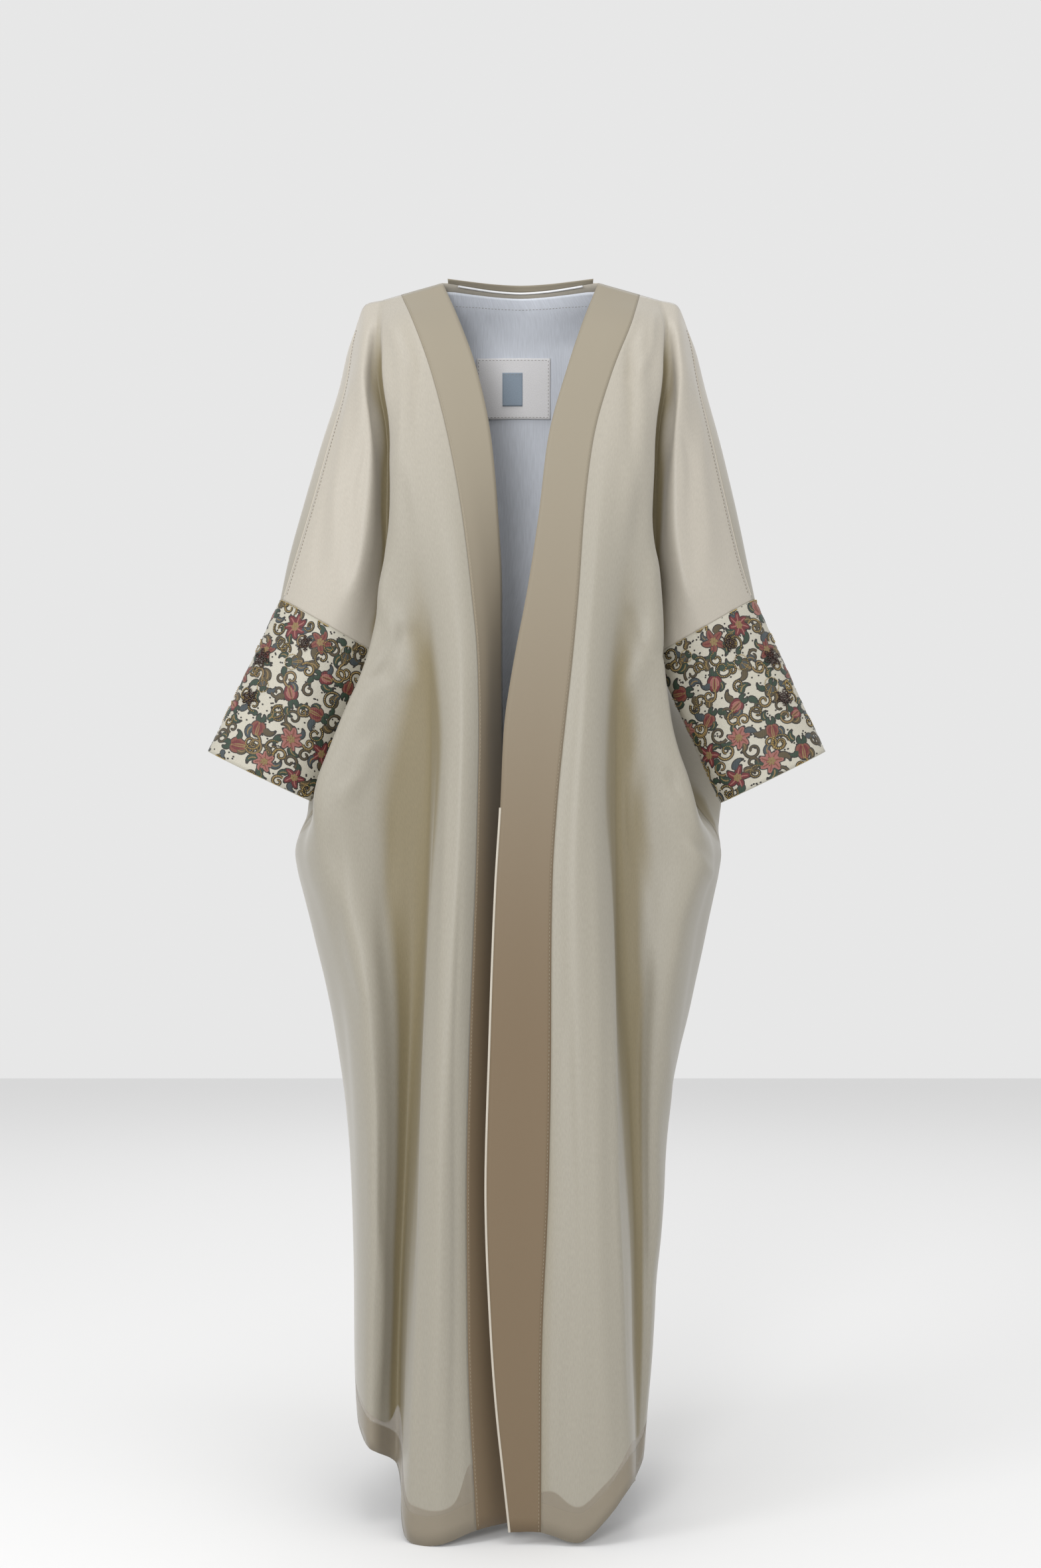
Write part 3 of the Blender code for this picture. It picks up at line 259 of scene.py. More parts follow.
# Soft folds added to a panel: x and z where each starts and ends, its half width, and how
# far it stands out of the cloth (a trough where negative).
frontRightFolds = (
    (-0.178, -0.74, -0.190, -1.28, 0.024, 0.0070),
)
frontLeftFolds = (
    (0.192, -0.76, 0.160, -1.10, 0.020, 0.0050),
)
backFolds = (
    (-0.118, -0.30, -0.098, -1.44, 0.036, 0.0150),
    (-0.052, -0.42, -0.046, -1.44, 0.030, -0.0120),
    (0.006, -0.36, 0.000, -1.44, 0.034, 0.0130),
    (0.066, -0.48, 0.050, -1.44, 0.030, -0.0120),
    (0.122, -0.28, 0.100, -1.44, 0.034, 0.0140),
)
# Quads between neighbouring stations
frontCounts = (3, 2, 3, 4, 2, 2)
sleeveCounts = (4, 4)
sleeveBackCounts = (2, 2, 4)
backCounts = (2, 3, 3, 3)
bandCount = 3

# The label patch and the label on the inner side of the back: left, right, top, bottom
patchSides = (-0.0555, 0.0378, -0.076, -0.151)
labelSides = (-0.0227, 0.0025, -0.094, -0.135)
patchGrid = (6, 5)
labelGrid = (2, 2)


def column(table, names, name):
    return np.array([row[names.index(name)] for row in table], dtype=float)


def cubic(a, b, ta, tb, part):
    # From a to b, leaving along ta and coming in along tb
    return (a * (2 * part**3 - 3 * part**2 + 1) + ta * (part**3 - 2 * part**2 + part)
            + b * (3 * part**2 - 2 * part**3) + tb * (part**3 - part**2))


def monotone(knots, values, at):
    # Values between knots without overshoot, one column at a time.
    step = np.diff(knots)[:, None]
    slope = np.diff(values, axis=0) / step
    tangent = np.zeros_like(values)
    same = slope[:-1] * slope[1:] > 0
    mean = 2 * slope[:-1] * slope[1:] / np.where(same, slope[:-1] + slope[1:], 1.0)
    tangent[1:-1] = np.where(same, mean, 0.0)
    tangent[0], tangent[-1] = slope[0], slope[-1]
    index = np.clip(np.searchsorted(knots, at, side="right") - 1, 0, len(knots) - 2)
    width = step[index]
    part = ((at - knots[index])[:, None]) / width
    a, b = values[index], values[index + 1]
    return cubic(a, b, tangent[index] * width, tangent[index + 1] * width, part)


def subRows(values, sections):
    # Fill in the rows between sections; values has one row per section.
    flat = np.asarray(values, dtype=float).reshape(len(values), -1)
    at = np.linspace(0, sections - 1, (sections - 1) * rowsPerSection + 1)
    filled = monotone(np.arange(sections, dtype=float), flat[:sections], at)
    return filled.reshape((len(at),) + np.asarray(values).shape[1:])


def through(stations, counts, first, last, sharp=None):
    # Round curve through each row's stations; gives the points from station first to last.
    # sharp is a station whose corner is kept, with its weight for every row.
    step = np.linalg.norm(np.diff(stations, axis=1), axis=2)
    step = np.maximum(step, 1e-5) ** 0.5
    chord = np.diff(stations, axis=1) / step[..., None]
    before, after = step[:, :-1, None], step[:, 1:, None]
    tangent = np.empty_like(stations)
    tangent[:, 0], tangent[:, -1] = chord[:, 0], chord[:, -1]
    across = (stations[:, 2:] - stations[:, :-2]) / (before + after)
    tangent[:, 1:-1] = chord[:, :-1] - across + chord[:, 1:]
    into, out = tangent.copy(), tangent.copy()
    if sharp is not None:
        station, weight = sharp
        weight = weight[:, None]
        into[:, station] = into[:, station] * (1 - weight) + chord[:, station - 1] * weight
        out[:, station] = out[:, station] * (1 - weight) + chord[:, station] * weight
    points = []
    for index in range(first, last):
        count = counts[index - first]
        for part in np.arange(count) / count:
            a, b = stations[:, index], stations[:, index + 1]
            ta = out[:, index] * step[:, index, None]
            tb = into[:, index + 1] * step[:, index, None]
            points.append(cubic(a, b, ta, tb, part))
    points.append(stations[:, last].copy())
    return np.stack(points, axis=1)


def shoulderHeight(width):
    # Height of the shoulder seam at a width, which is nought where the neck begins.
    return -(width - neckHalfWidth) * shoulderDrop


def frontStations(sections, side, recede):
    # Stations of a front with its band, one row per section: edge, seam ... side.
    top = column(sections, frontColumns, "zFront")
    low = column(sections, frontColumns, "zSide")
    lap = column(frontDepths, depthColumns, "lap") * (1 - recede)
    backTurn = column(frontDepths, depthColumns, "recede") * recede
    stations = []
    for name in frontStationsInOrder:
        x = column(sections, frontColumns, name) * side
        depth = "seam" if name == "edge" else name
        if recede == 0.0 and name in ("hollow", "crest"):
            depth = "left" + name.capitalize()
        y = column(frontDepths, depthColumns, depth)
        if name in ("edge", "seam"):
            y = y - lap
        if name == "edge":
            y = y + backTurn
        if name == "brink":
            z = column(sections, frontColumns, "zBrink")
        else:
            z = top + (low - top) * frontSag[name]
        z[0] = shoulderHeight(abs(x[0]))
        stations.append(np.stack((x, y, z), axis=1))
    return np.stack(stations, axis=1)


def sleeveStations(sections, side):
    # Sleeve stations from valley in front round to valley behind, one row per section.
    which = sideWord[side]
    rows = len(sleeveSections)
    get = lambda name: column(sleeveSections, sleeveColumns, name)
    valleyX = column(sections, frontColumns, "side")[:rows]
    valleyY = column(frontDepths, depthColumns, "side")[:rows]
    valleyZ = column(sections, frontColumns, "zSide")[:rows]
    overX, overY, overZ = get("over" + which), get("overY"), get("overZ")
    ridgeX = get("ridge" + which)
    share = (ridgeX - valleyX) / (overX - valleyX)
    ridgeZ = valleyZ + (overZ - valleyZ) * share
    ridgeZ[0] = shoulderHeight(ridgeX[0])
    outX = overX + get("strip")
    outZ = overZ - 0.3 * get("strip")
    backX = get("valleyX").copy()
    backX[-1] = valleyX[-1]
    backY = get("valleyY").copy()
    backY[-1] = valleyY[-1]
    behindX = ridgeX + 0.006
    points = (
        (valleyX, valleyY, valleyZ),
        (ridgeX, get("ridgeY"), ridgeZ),
        (overX, overY, overZ),
        (outX, get("outY"), outZ),
        (behindX, get("backY"), ridgeZ),
        (backX, backY, valleyZ),
    )
    return np.stack([np.stack((side * x, y, z), axis=1) for x, y, z in points], axis=1)


def backStations(sections, sleeves, side):
    # Half of the back, one row per section: side or valley, flank, blade, mid, centre.
    rows = len(backSections)
    valleyRows = len(sleeveSections)
    get = lambda name: column(backSections, backColumns, name)
    sideX = column(sections, frontColumns, "side")
    sideY = column(frontDepths, depthColumns, "side").copy()
    sideZ = column(sections, frontColumns, "zSide")
    sideX[:valleyRows] = np.abs(sleeves[:, 5, 0])
    sideY[:valleyRows] = sleeves[:, 5, 1]
    centreZ = get("zBack")
    flankX = sideX - get("inset" + sideWord[side])
    points = (
        ("side", sideX, sideY),
        ("flank", flankX, get("flankY")),
        ("blade", get("bladeX"), get("bladeY")),
        ("mid", get("midX"), get("midY")),
        ("centre", np.zeros(rows), get("centreY")),
    )
    stations = []
    for name, x, y in points:
        z = centreZ + (sideZ - centreZ) * backSag[name]
        if name != "centre":
            z[0] = shoulderHeight(x[0])
        stations.append(np.stack((side * x, y, z), axis=1))
    return np.stack(stations, axis=1)


def surfaceNormals(points, outward):
    # Unit normals of a grid; outward is +1 or -1 for the way its columns run.
    down = np.gradient(points, axis=0)
    across = np.gradient(points, axis=1)
    normal = np.cross(down, across) * outward
    return normal / np.maximum(np.linalg.norm(normal, axis=2, keepdims=True), 1e-12)


def smoothStep(value):
    value = np.clip(value, 0.0, 1.0)
    return value * value * (3 - 2 * value)


def addFolds(points, outward, folds, edgeFade, lastRow):
    # Push the cloth out along its folds; the seams and the rows past lastRow stay put.
    normal = surfaceNormals(points[:lastRow + 1], outward)
    x, z = points[:lastRow + 1, :, 0], points[:lastRow + 1, :, 2]
    rise = np.zeros_like(x)
    for xTop, zTop, xEnd, zEnd, halfWidth, height in folds:
        along = (z - zTop) / (zEnd - zTop)
        line = xTop + (xEnd - xTop) * along
        grow = smoothStep(along * 4.0) * smoothStep((1.35 - along) * 3.0)
        rise += height * grow * np.exp(-((x - line) / halfWidth) ** 2)
    moved = points.copy()
    moved[:lastRow + 1] += normal * (rise * edgeFade[:lastRow + 1])[..., None]
    return moved


def buildFrontsAndBack(sectionsBySide):
    # The bands, the fronts and the back as grids that share their seam points.
    sectionCount = len(backSections)
    last = len(frontStationsInOrder) - 1
    sleeveRows = (len(sleeveSections) - 1) * rowsPerSection
    grids = {}
    backHalves = {}
    sleeveBacks = {}
    for side, (word, sections, recede) in sectionsBySide.items():
        front = frontStations(sections, side, recede)
        sleeve = sleeveStations(sections, side)
        back = backStations(sections, sleeve, side)
        frontFill = subRows(front, sectionCount)
        sleeveFill = subRows(sleeve, len(sleeveSections))
        backFill = subRows(back, sectionCount)
        backFill[sleeveRows:, 0] = frontFill[sleeveRows:, last]
        # Above the cuff seam the curve runs on into the sleeve; below it, into the back
        high = slice(0, sleeveRows)
        low = slice(sleeveRows, None)
        withSleeve = np.concatenate((frontFill[high], sleeveFill[:sleeveRows, 1:3]), axis=1)
        bodyHigh = through(withSleeve, (bandCount,) + frontCounts, 0, last)
        withBack = np.concatenate((frontFill[low], backFill[low][:, 1:2]), axis=1)
        bodyLow = through(withBack, (bandCount,) + frontCounts, 0, last)
        body = np.concatenate((bodyHigh, bodyLow))
        # Towards the cuff seam the curve closes into the loop that the cuff is sewn to
        fromCuff = (sleeveRows - np.arange(sleeveRows + 1))[:, None, None]
        close = smoothStep(1 - fromCuff / loopRows) * loopClose
        closeBack = smoothStep(1 - fromCuff / loopRowsBack) * loopClose
        before = frontFill[:sleeveRows + 1, last - 1:last]
        before = before * (1 - close) + sleeveFill[:, 4:5] * close
        beyond = backFill[:sleeveRows + 1, 1:2]
        beyond = beyond * (1 - closeBack) + sleeveFill[:, 1:2] * closeBack
        wholeFront = np.concatenate((before, sleeveFill[:, :4]), axis=1)
        sleeveFront = through(wholeFront, sleeveCounts, 1, 3)
        wholeBack = np.concatenate((sleeveFill[:, 1:6], beyond), axis=1)
        sleeveBack = through(wholeBack, sleeveBackCounts, 1, 4)
        sleeveBack[0] = sleeveFront[0, ::-1]
        sleeveBack[-1, -1] = sleeveFront[-1, 0]
        halfHigh = np.concatenate((sleeveFill[:sleeveRows, 4:5], backFill[high]), axis=1)
        halfLow = np.concatenate((frontFill[low][:, last - 1:last], backFill[low]), axis=1)
        mirror = np.array((-1.0, 1.0, 1.0))
        half = np.concatenate((halfHigh, halfLow))
        half = np.concatenate((half, half[:, -2:-1] * mirror), axis=1)
        corner = np.zeros(len(half))
        corner[0] = 1.0
        corner[1] = 0.4
        backHalves[side] = through(half, backCounts, 1, 5, sharp=(4, corner))
        sleeveBacks[side] = sleeveBack
        padRows = len(body) - len(sleeveFront)
        pad = np.repeat(sleeveFront[-1:, 1:], padRows, axis=0)
        outer = np.concatenate((sleeveFront[:, 1:], pad))
        grids["band_" + word] = body[:, :bandCount + 1]
        grids["front_" + word] = np.concatenate((body[:, bandCount:], outer), axis=1)
    rightSleeve = sleeveBacks[-1][:, :-1]
    leftSleeve = sleeveBacks[1][:, ::-1][:, 1:]
    padRows = len(backHalves[-1]) - len(rightSleeve)
    rightSleeve = np.concatenate((rightSleeve, np.repeat(rightSleeve[-1:], padRows, axis=0)))
    leftSleeve = np.concatenate((leftSleeve, np.repeat(leftSleeve[-1:], padRows, axis=0)))
    grids["back"] = np.concatenate((rightSleeve, backHalves[-1],
                                    backHalves[1][:, ::-1][:, 1:], leftSleeve), axis=1)
    return grids, sleeveBacks, sleeveRows


def edgeFade(shape, sleeveRows, seams):
    # Nought at the seam rows and columns, growing to one inside the panel.
    rows, cols = shape
    fade = np.ones((rows, cols))
    fade *= smoothStep(np.arange(rows) / 4.0)[:, None]
    for seam in seams:
        fade *= smoothStep(np.abs(np.arange(cols) - seam) / 2.0)[None, :]
    nearCuff = smoothStep(np.abs(np.arange(rows) - sleeveRows) / 3.0)
    return fade, nearCuff


def sampleGrid(grid, x, z):
    # The point of a grid seen from the front at a given width and height.
    best = None
    rows, cols = grid.shape[:2]
    row, col = rows / 4, cols / 2
    for _ in range(60):
        r, c = int(min(max(row, 0), rows - 2)), int(min(max(col, 0), cols - 2))
        fr, fc = row - r, col - c
        a, b, d, e = grid[r, c], grid[r, c + 1], grid[r + 1, c], grid[r + 1, c + 1]
        best = (a * (1 - fr) + d * fr) * (1 - fc) + (b * (1 - fr) + e * fr) * fc
        byRow = (d - a) * (1 - fc) + (e - b) * fc
        byCol = (b - a) * (1 - fr) + (e - d) * fr
        matrix = np.array(((byRow[0], byCol[0]), (byRow[2], byCol[2])))
        change = np.linalg.solve(matrix, np.array((x - best[0], z - best[2])))
        row, col = row + np.clip(change[0], -2, 2), col + np.clip(change[1], -2, 2)
    return best


def rectangleOn(grid, sides, counts, lift):
    # A rectangle of points lying on a grid, moved towards the front by lift.
    left, right, top, bottom = sides
    across, down = counts
    points = np.empty((down + 1, across + 1, 3))
    for row in range(down + 1):
        for col in range(across + 1):
            x = left + (right - left) * col / across
            z = top + (bottom - top) * row / down
            points[row, col] = sampleGrid(grid, x, z)
    points[..., 1] -= lift
    return points


# The fine cloth: the same surface with more rows and columns, then its creases
cloth = {"down": 4, "across": 4, "wall": 0.0010, "cuffWall": 0.0020, "bandWall": 0.0014,
         "neckWall": 0.0012, "thinWall": 0.0008, "liningDepth": 0.0044, "patchLift": 0.0019,
         "labelLift": 0.0013, "cuffRows": 8}


def refine(grid, down, across):
    rows, cols = grid.shape[:2]
    wide = through(grid, (across,) * (cols - 1), 0, cols - 1)
    tall = through(np.swapaxes(wide, 0, 1), (down,) * (rows - 1), 0, rows - 1)
    return np.swapaxes(tall, 0, 1)


def relaxGrid(grid, present, junctions):
    # Even out the cloth round the point under the arm, as the solids do
    rows, cols = grid.shape[:2]
    faces = np.zeros((rows, cols), dtype=int)
    for shift in ((0, 0), (0, 1), (1, 0), (1, 1)):
        faces[shift[0]:rows - 1 + shift[0], shift[1]:cols - 1 + shift[1]] += present
    inside = faces == 4
    away = np.min([np.linalg.norm(grid - point, axis=2) for point in junctions], axis=0)
    moving = inside & (away < relaxReach)
    share = (smoothStep(2 * (1 - away / relaxReach)) * 0.5 * moving)[..., None]
    eased = grid.copy()
    for _ in range(relaxPasses):
        middle = eased.copy()
        middle[1:-1, 1:-1] = (eased[:-2, 1:-1] + eased[2:, 1:-1]
                              + eased[1:-1, :-2] + eased[1:-1, 2:]) / 4
        eased = eased * (1 - share) + middle * share
    return eased


def arcs(grid, originCol):
    # Lengths along the cloth in metres: across from a column, and down from the top
    across = np.zeros(grid.shape[:2])
    across[:, 1:] = np.cumsum(np.linalg.norm(np.diff(grid, axis=1), axis=2), axis=1)
    across -= across[:, originCol:originCol + 1]
    down = np.zeros(grid.shape[:2])
    down[1:] = np.cumsum(np.linalg.norm(np.diff(grid, axis=0), axis=2), axis=0)
    return across, down


def makeMesh(name, grid, outward, material, wall, present=None, extra=None, originCol=0, closed=False):
    # A thickened panel; originCol is the column that its map is measured from
    rows, cols = grid.shape[:2]
    if present is None:
        present = np.ones((rows - 1, cols - 1), dtype=bool)
    across, down = arcs(grid, originCol)
    index = np.arange(rows * cols).reshape(rows, cols)
    a, b, c, d = index[:-1, :-1], index[:-1, 1:], index[1:, :-1], index[1:, 1:]
    quads = np.stack((a, c, d, b) if outward > 0 else (a, b, d, c), axis=-1)[present]
    corners = quads
    if closed:
        merge = index.copy()
        merge[:, -1] = index[:, 0]
        quads = merge.reshape(-1)[quads]
    used, inverse = np.unique(quads, return_inverse=True)
    faces = inverse.reshape(quads.shape)
    mesh = bpy.data.meshes.new(name)
    mesh.from_pydata(grid.reshape(-1, 3)[used].tolist(), [], faces.tolist())
    uvLayer = mesh.uv_layers.new(name="clothMap")
    corners = corners.reshape(-1)
    flat = np.stack((across.reshape(-1)[corners], down.reshape(-1)[corners]), axis=1)
    uvLayer.data.foreach_set("uv", flat.astype(np.float32).reshape(-1))
    for key, values in (extra or {}).items():
        attribute = mesh.attributes.new(key, "FLOAT", "POINT")
        attribute.data.foreach_set("value", values.reshape(-1)[used].astype(np.float32))
    mesh.validate()
    mesh.shade_smooth()
    mesh.materials.append(material)
    item = addItem(name, mesh)
    thicken = item.modifiers.new("wall", "SOLIDIFY")
    thicken.thickness = wall
    thicken.offset = 0.0
    settle(item)
    return item


def settle(item):
    # Turn an object with modifiers into a plain mesh
    graph = bpy.context.evaluated_depsgraph_get()
    mesh = bpy.data.meshes.new_from_object(item.evaluated_get(graph), depsgraph=graph)
    item.modifiers.clear()
    old = item.data
    mesh.name = old.name
    item.data = mesh
    bpy.data.meshes.remove(old)


# The back is one panel here, and three nodes in the part
nodesOf = {"back": ("back", "back_sleeve_right", "back_sleeve_left")}


def dress(item, node):
    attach(item, "root")
    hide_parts(*nodesOf.get(node, (node,)))


def plainMaterial(name, colour, rough, sheen=0.0):
    material = bpy.data.materials.new(name)
    material.use_nodes = True
    shader = material.node_tree.nodes["Principled BSDF"]
    shader.inputs["Base Color"].default_value = (*colour, 1.0)
    shader.inputs["Roughness"].default_value = rough
    shader.inputs["Sheen Weight"].default_value = sheen
    return material


# Finishes of the cloth; colours are linear. The sleeve colour is cream painted lighter as if more brightly
# lit, the khaki-brown is painted shade for the hollows, and the bands' lower colour is painted shade
looks = {
    "cream": (0.298, 0.276, 0.226), "sleeve": (0.410, 0.378, 0.322), "paintedShade": (0.200, 0.166, 0.096),
    "sheer": (0.280, 0.240, 0.178),
    "bandLitTop": (0.270, 0.238, 0.180), "bandShadedLow": (0.158, 0.114, 0.068),
    "lining": (0.700, 0.735, 0.805), "patch": (0.850, 0.840, 0.850), "label": (0.300, 0.370, 0.450),
    "cuffGround": (0.455, 0.432, 0.362),
    "turnUp": 0.033, "satinEnd": 0.040,
}


def node(tree, kind, **values):
    item = tree.nodes.new(kind)
    for name, value in values.items():
        setattr(item, name, value)
    return item


def attribute(tree, name):
    return node(tree, "ShaderNodeAttribute", attribute_name=name).outputs["Fac"]


def mixColour(tree, factor, first, second, blend="MIX"):
    mix = node(tree, "ShaderNodeMix", data_type="RGBA", blend_type=blend)
    for index, source in ((0, factor), (6, first), (7, second)):
        if isinstance(source, tuple):
            mix.inputs[index].default_value = (*source, 1.0)
        elif isinstance(source, float):
            mix.inputs[index].default_value = source
        else:
            tree.links.new(source, mix.inputs[index])
    return mix.outputs[2]


def stepBetween(tree, value, low, high, first=0.0, last=1.0):
    ramp = node(tree, "ShaderNodeMapRange", interpolation_type="SMOOTHSTEP")
    for name, number in (("From Min", low), ("From Max", high), ("To Min", first), ("To Max", last)):
        ramp.inputs[name].default_value = number
    tree.links.new(value, ramp.inputs["Value"])
    return ramp.outputs["Result"]


def weave(tree, shader, across, down, depth, strength=0.35):
    # Threads of the cloth on its own map: streaks down the cloth and a soft unevenness
    place = node(tree, "ShaderNodeUVMap", uv_map="clothMap")
    turn = node(tree, "ShaderNodeMapping")
    turn.inputs["Scale"].default_value = (across, down, 1.0)
    noise = node(tree, "ShaderNodeTexNoise")
    noise.inputs["Scale"].default_value = 1.0
    noise.inputs["Detail"].default_value = 4.0
    bump = node(tree, "ShaderNodeBump")
    bump.inputs["Strength"].default_value = strength
    bump.inputs["Distance"].default_value = depth
    tree.links.new(place.outputs["UV"], turn.inputs["Vector"])
    tree.links.new(turn.outputs["Vector"], noise.inputs["Vector"])
    tree.links.new(noise.outputs["Fac"], bump.inputs["Height"])
    tree.links.new(bump.outputs["Normal"], shader.inputs["Normal"])
    return noise.outputs["Fac"]


def clothShader(name, rough, sheen, specular=0.3):
    material = plainMaterial(name, (0.5, 0.5, 0.5), rough, sheen)
    tree = material.node_tree
    shader = tree.nodes["Principled BSDF"]
    shader.inputs["Specular IOR Level"].default_value = specular
    shader.inputs["Sheen Roughness"].default_value = 0.4
    return material, tree, shader


def makeOuterCloth():
    # Sheer cream over satin, with painted shade in khaki where it lies hollow and painted light on the
    # sleeves and shoulders; darker and sheer below the satin
    material, tree, shader = clothShader("outerCloth", 0.46, 0.25, 0.4)
    below = attribute(tree, "hemDistance")
    threads = weave(tree, shader, 900.0, 160.0, 0.0004)
    # Painted shade: the hollow attribute darkens the cream towards khaki in hollows and on shaded fold sides
    shade = stepBetween(tree, attribute(tree, "hollow"), -0.10, 1.0)
    # Painted light: the cream made paler on the sleeves and shoulders
    paintedLight = mixColour(tree, attribute(tree, "sleeve"), looks["cream"], looks["sleeve"])
    colour = mixColour(tree, shade, paintedLight, looks["paintedShade"])
    streak = stepBetween(tree, threads, 0.25, 0.75, 0.94, 1.04)
    grey = node(tree, "ShaderNodeCombineColor")
    for channel in ("Red", "Green", "Blue"):
        tree.links.new(streak, grey.inputs[channel])
    colour = mixColour(tree, 1.0, colour, grey.outputs["Color"], "MULTIPLY")
    gap = node(tree, "ShaderNodeMath", operation="SUBTRACT")
    tree.links.new(below, gap.inputs[0])
    tree.links.new(attribute(tree, "satinEnd"), gap.inputs[1])
    sheer = stepBetween(tree, gap.outputs[0], -0.0015, 0.0015, 1.0, 0.0)
    # The turned-up hem is double: darker, and less clear
    double = stepBetween(tree, below, looks["turnUp"] - 0.001, looks["turnUp"] + 0.001, 1.0, 0.0)
    sheerColour = mixColour(tree, double, looks["sheer"], tuple(0.86 * part for part in looks["sheer"]))
    colour = mixColour(tree, sheer, colour, sheerColour)
    tree.links.new(colour, shader.inputs["Base Color"])
    solid = stepBetween(tree, double, 0.0, 1.0, 0.62, 0.88)
    alpha = node(tree, "ShaderNodeMix", data_type="FLOAT")
    alpha.inputs[2].default_value = 1.0
    tree.links.new(sheer, alpha.inputs[0])
    tree.links.new(solid, alpha.inputs[3])
    tree.links.new(alpha.outputs[0], shader.inputs["Alpha"])
    return material


def makeBandCloth():
    # Plain crepe with painted shade: lighter at the shoulders, darker and browner down the front where the
    # bands lie in shade
    material, tree, shader = clothShader("bandCloth", 0.62, 0.2)
    place = node(tree, "ShaderNodeTexCoord")
    split = node(tree, "ShaderNodeSeparateXYZ")
    tree.links.new(place.outputs["Object"], split.inputs["Vector"])
    # Painted shade: darker towards the bottom
    low = stepBetween(tree, split.outputs["Z"], -0.95, -0.10, 1.0, 0.0)
    weave(tree, shader, 1500.0, 1500.0, 0.0003)
    tree.links.new(mixColour(tree, low, looks["bandLitTop"], looks["bandShadedLow"]), shader.inputs["Base Color"])
    return material


def makeStreakCloth(name, colour, rough, across, down, depth):
    material, tree, shader = clothShader(name, rough, 0.1)
    threads = weave(tree, shader, across, down, depth, 0.5)
    shade = stepBetween(tree, threads, 0.3, 0.7)
    darker = tuple(0.90 * part for part in colour)
    tree.links.new(mixColour(tree, shade, darker, colour), shader.inputs["Base Color"])
    return material


outerCloth = makeOuterCloth()
bandCloth = makeBandCloth()
liningCloth = makeStreakCloth("liningCloth", looks["lining"], 0.6, 700.0, 45.0, 0.0006)
patchCloth = makeStreakCloth("patchCloth", looks["patch"], 0.75, 900.0, 900.0, 0.0004)
labelCloth = makeStreakCloth("labelCloth", looks["label"], 0.5, 1600.0, 500.0, 0.0004)
cuffCloth = makeStreakCloth("cuffCloth", looks["cuffGround"], 0.45, 500.0, 1200.0, 0.0005)
paleThread = plainMaterial("paleThread", (0.30, 0.26, 0.19), 0.6)
rolledEdge = plainMaterial("rolledEdge", (0.46, 0.42, 0.35), 0.5, 0.2)
darkThread = plainMaterial("darkThread", (0.13, 0.10, 0.06), 0.7)
whiteCord = plainMaterial("whiteCord", (0.85, 0.86, 0.88), 0.5)

grids, sleeveBacks, sleeveRows = buildFrontsAndBack(
    {-1: ("right", frontRightSections, 1.0), 1: ("left", frontLeftSections, 0.0)})
bodyCols = sum(frontCounts)
sleeveCols = sum(sleeveCounts)
junctions = [grids["front_" + word][sleeveRows, bodyCols].copy() for word in ("right", "left")]
fineSleeveRow = sleeveRows * cloth["down"]
fineBodyCol = bodyCols * cloth["across"]
fineSleeveCol = sleeveCols * cloth["across"]
print("sections worked out")


def presentFront(rows, cols, sleeveRow, bodyCol):
    present = np.ones((rows - 1, cols - 1), dtype=bool)
    present[sleeveRow:, bodyCol:] = False
    return present


def presentBack(rows, cols, sleeveRow, sleeveCol):
    present = np.ones((rows - 1, cols - 1), dtype=bool)
    present[sleeveRow:, :sleeveCol] = False
    present[sleeveRow:, cols - 1 - sleeveCol:] = False
    return present


def hemDistance(grid, sleeves):
    # Length of cloth below each point, down to the hem
    down = np.linalg.norm(np.diff(grid, axis=0), axis=2)
    below = np.zeros(grid.shape[:2])
    below[:-1] = np.cumsum(down[::-1], axis=0)[::-1]
    for start, end in sleeves:
        below[:, start:end] = 1.0
    return below


def hollowness(grid, outward, reach=7, full=0.010):
    # How far each point lies behind its neighbours across the cloth, from nought to one
    normal = surfaceNormals(grid, outward)
    total = np.zeros(grid.shape[:2])
    for step in (reach, reach * 2):
        padded = np.concatenate((grid[:, :1].repeat(step, axis=1), grid,
                                 grid[:, -1:].repeat(step, axis=1)), axis=1)
        around = (padded[:, :-2 * step] + padded[:, 2 * step:]) / 2
        total += ((around - grid) * normal).sum(axis=2) / (full * step / reach)
    return np.clip(total / 2, -1.0, 1.0)


def columnShade(grid):
    # Painted shade: the steep side of the column fold, the fold before the arm, and the cloth beside the
    # band seam low on the front lie in shade
    cols = np.arange(grid.shape[1])[None, :]
    z = grid[..., 2]
    brink, hollow, tuck, side = (cloth["across"] * sum(frontCounts[:index]) for index in (2, 3, 5, 6))
    steep = np.exp(-((cols - (brink + hollow) / 2) / 6.0) ** 2) * smoothStep((-0.38 - z) / 0.30)
    arm = np.exp(-((cols - (tuck + side) / 2) / 4.0) ** 2)
    arm = arm * smoothStep((-0.07 - z) / 0.08) * smoothStep((z + 0.50) / 0.15)
    beside = np.exp(-(cols / 5.0) ** 2) * smoothStep((-0.75 - z) / 0.40) * 0.35
    return 0.85 * steep + 0.9 * arm + beside


def paintedLightShare(grid):
    # Painted light: one on the sleeve and towards the top of the shoulder, where the cloth is painted paler
    # as if more brightly lit
    cols = np.arange(grid.shape[1])[None, :] * np.ones(grid.shape[:2])
    side = cloth["across"] * bodyCols
    onSleeve = smoothStep((cols - side + 3) / 6.0)
    shoulder = smoothStep((grid[..., 2] + 0.42) / 0.36) * 0.75
    return np.maximum(onSleeve, shoulder)


def satinEnds(grid):
    # The satin under the sheer cloth ends a little above the hem, higher behind the columns
    x = grid[..., 0]
    rise = 0.034 * np.exp(-((x + 0.058) / 0.010) ** 2) + 0.030 * np.exp(-((x + 0.142) / 0.008) ** 2)
    rise += 0.010 * np.exp(-((x - 0.040) / 0.016) ** 2) + 0.008 * np.exp(-((x - 0.128) / 0.012) ** 2)
    return looks["satinEnd"] + rise + 0.002 * np.sin(x * 90.0)


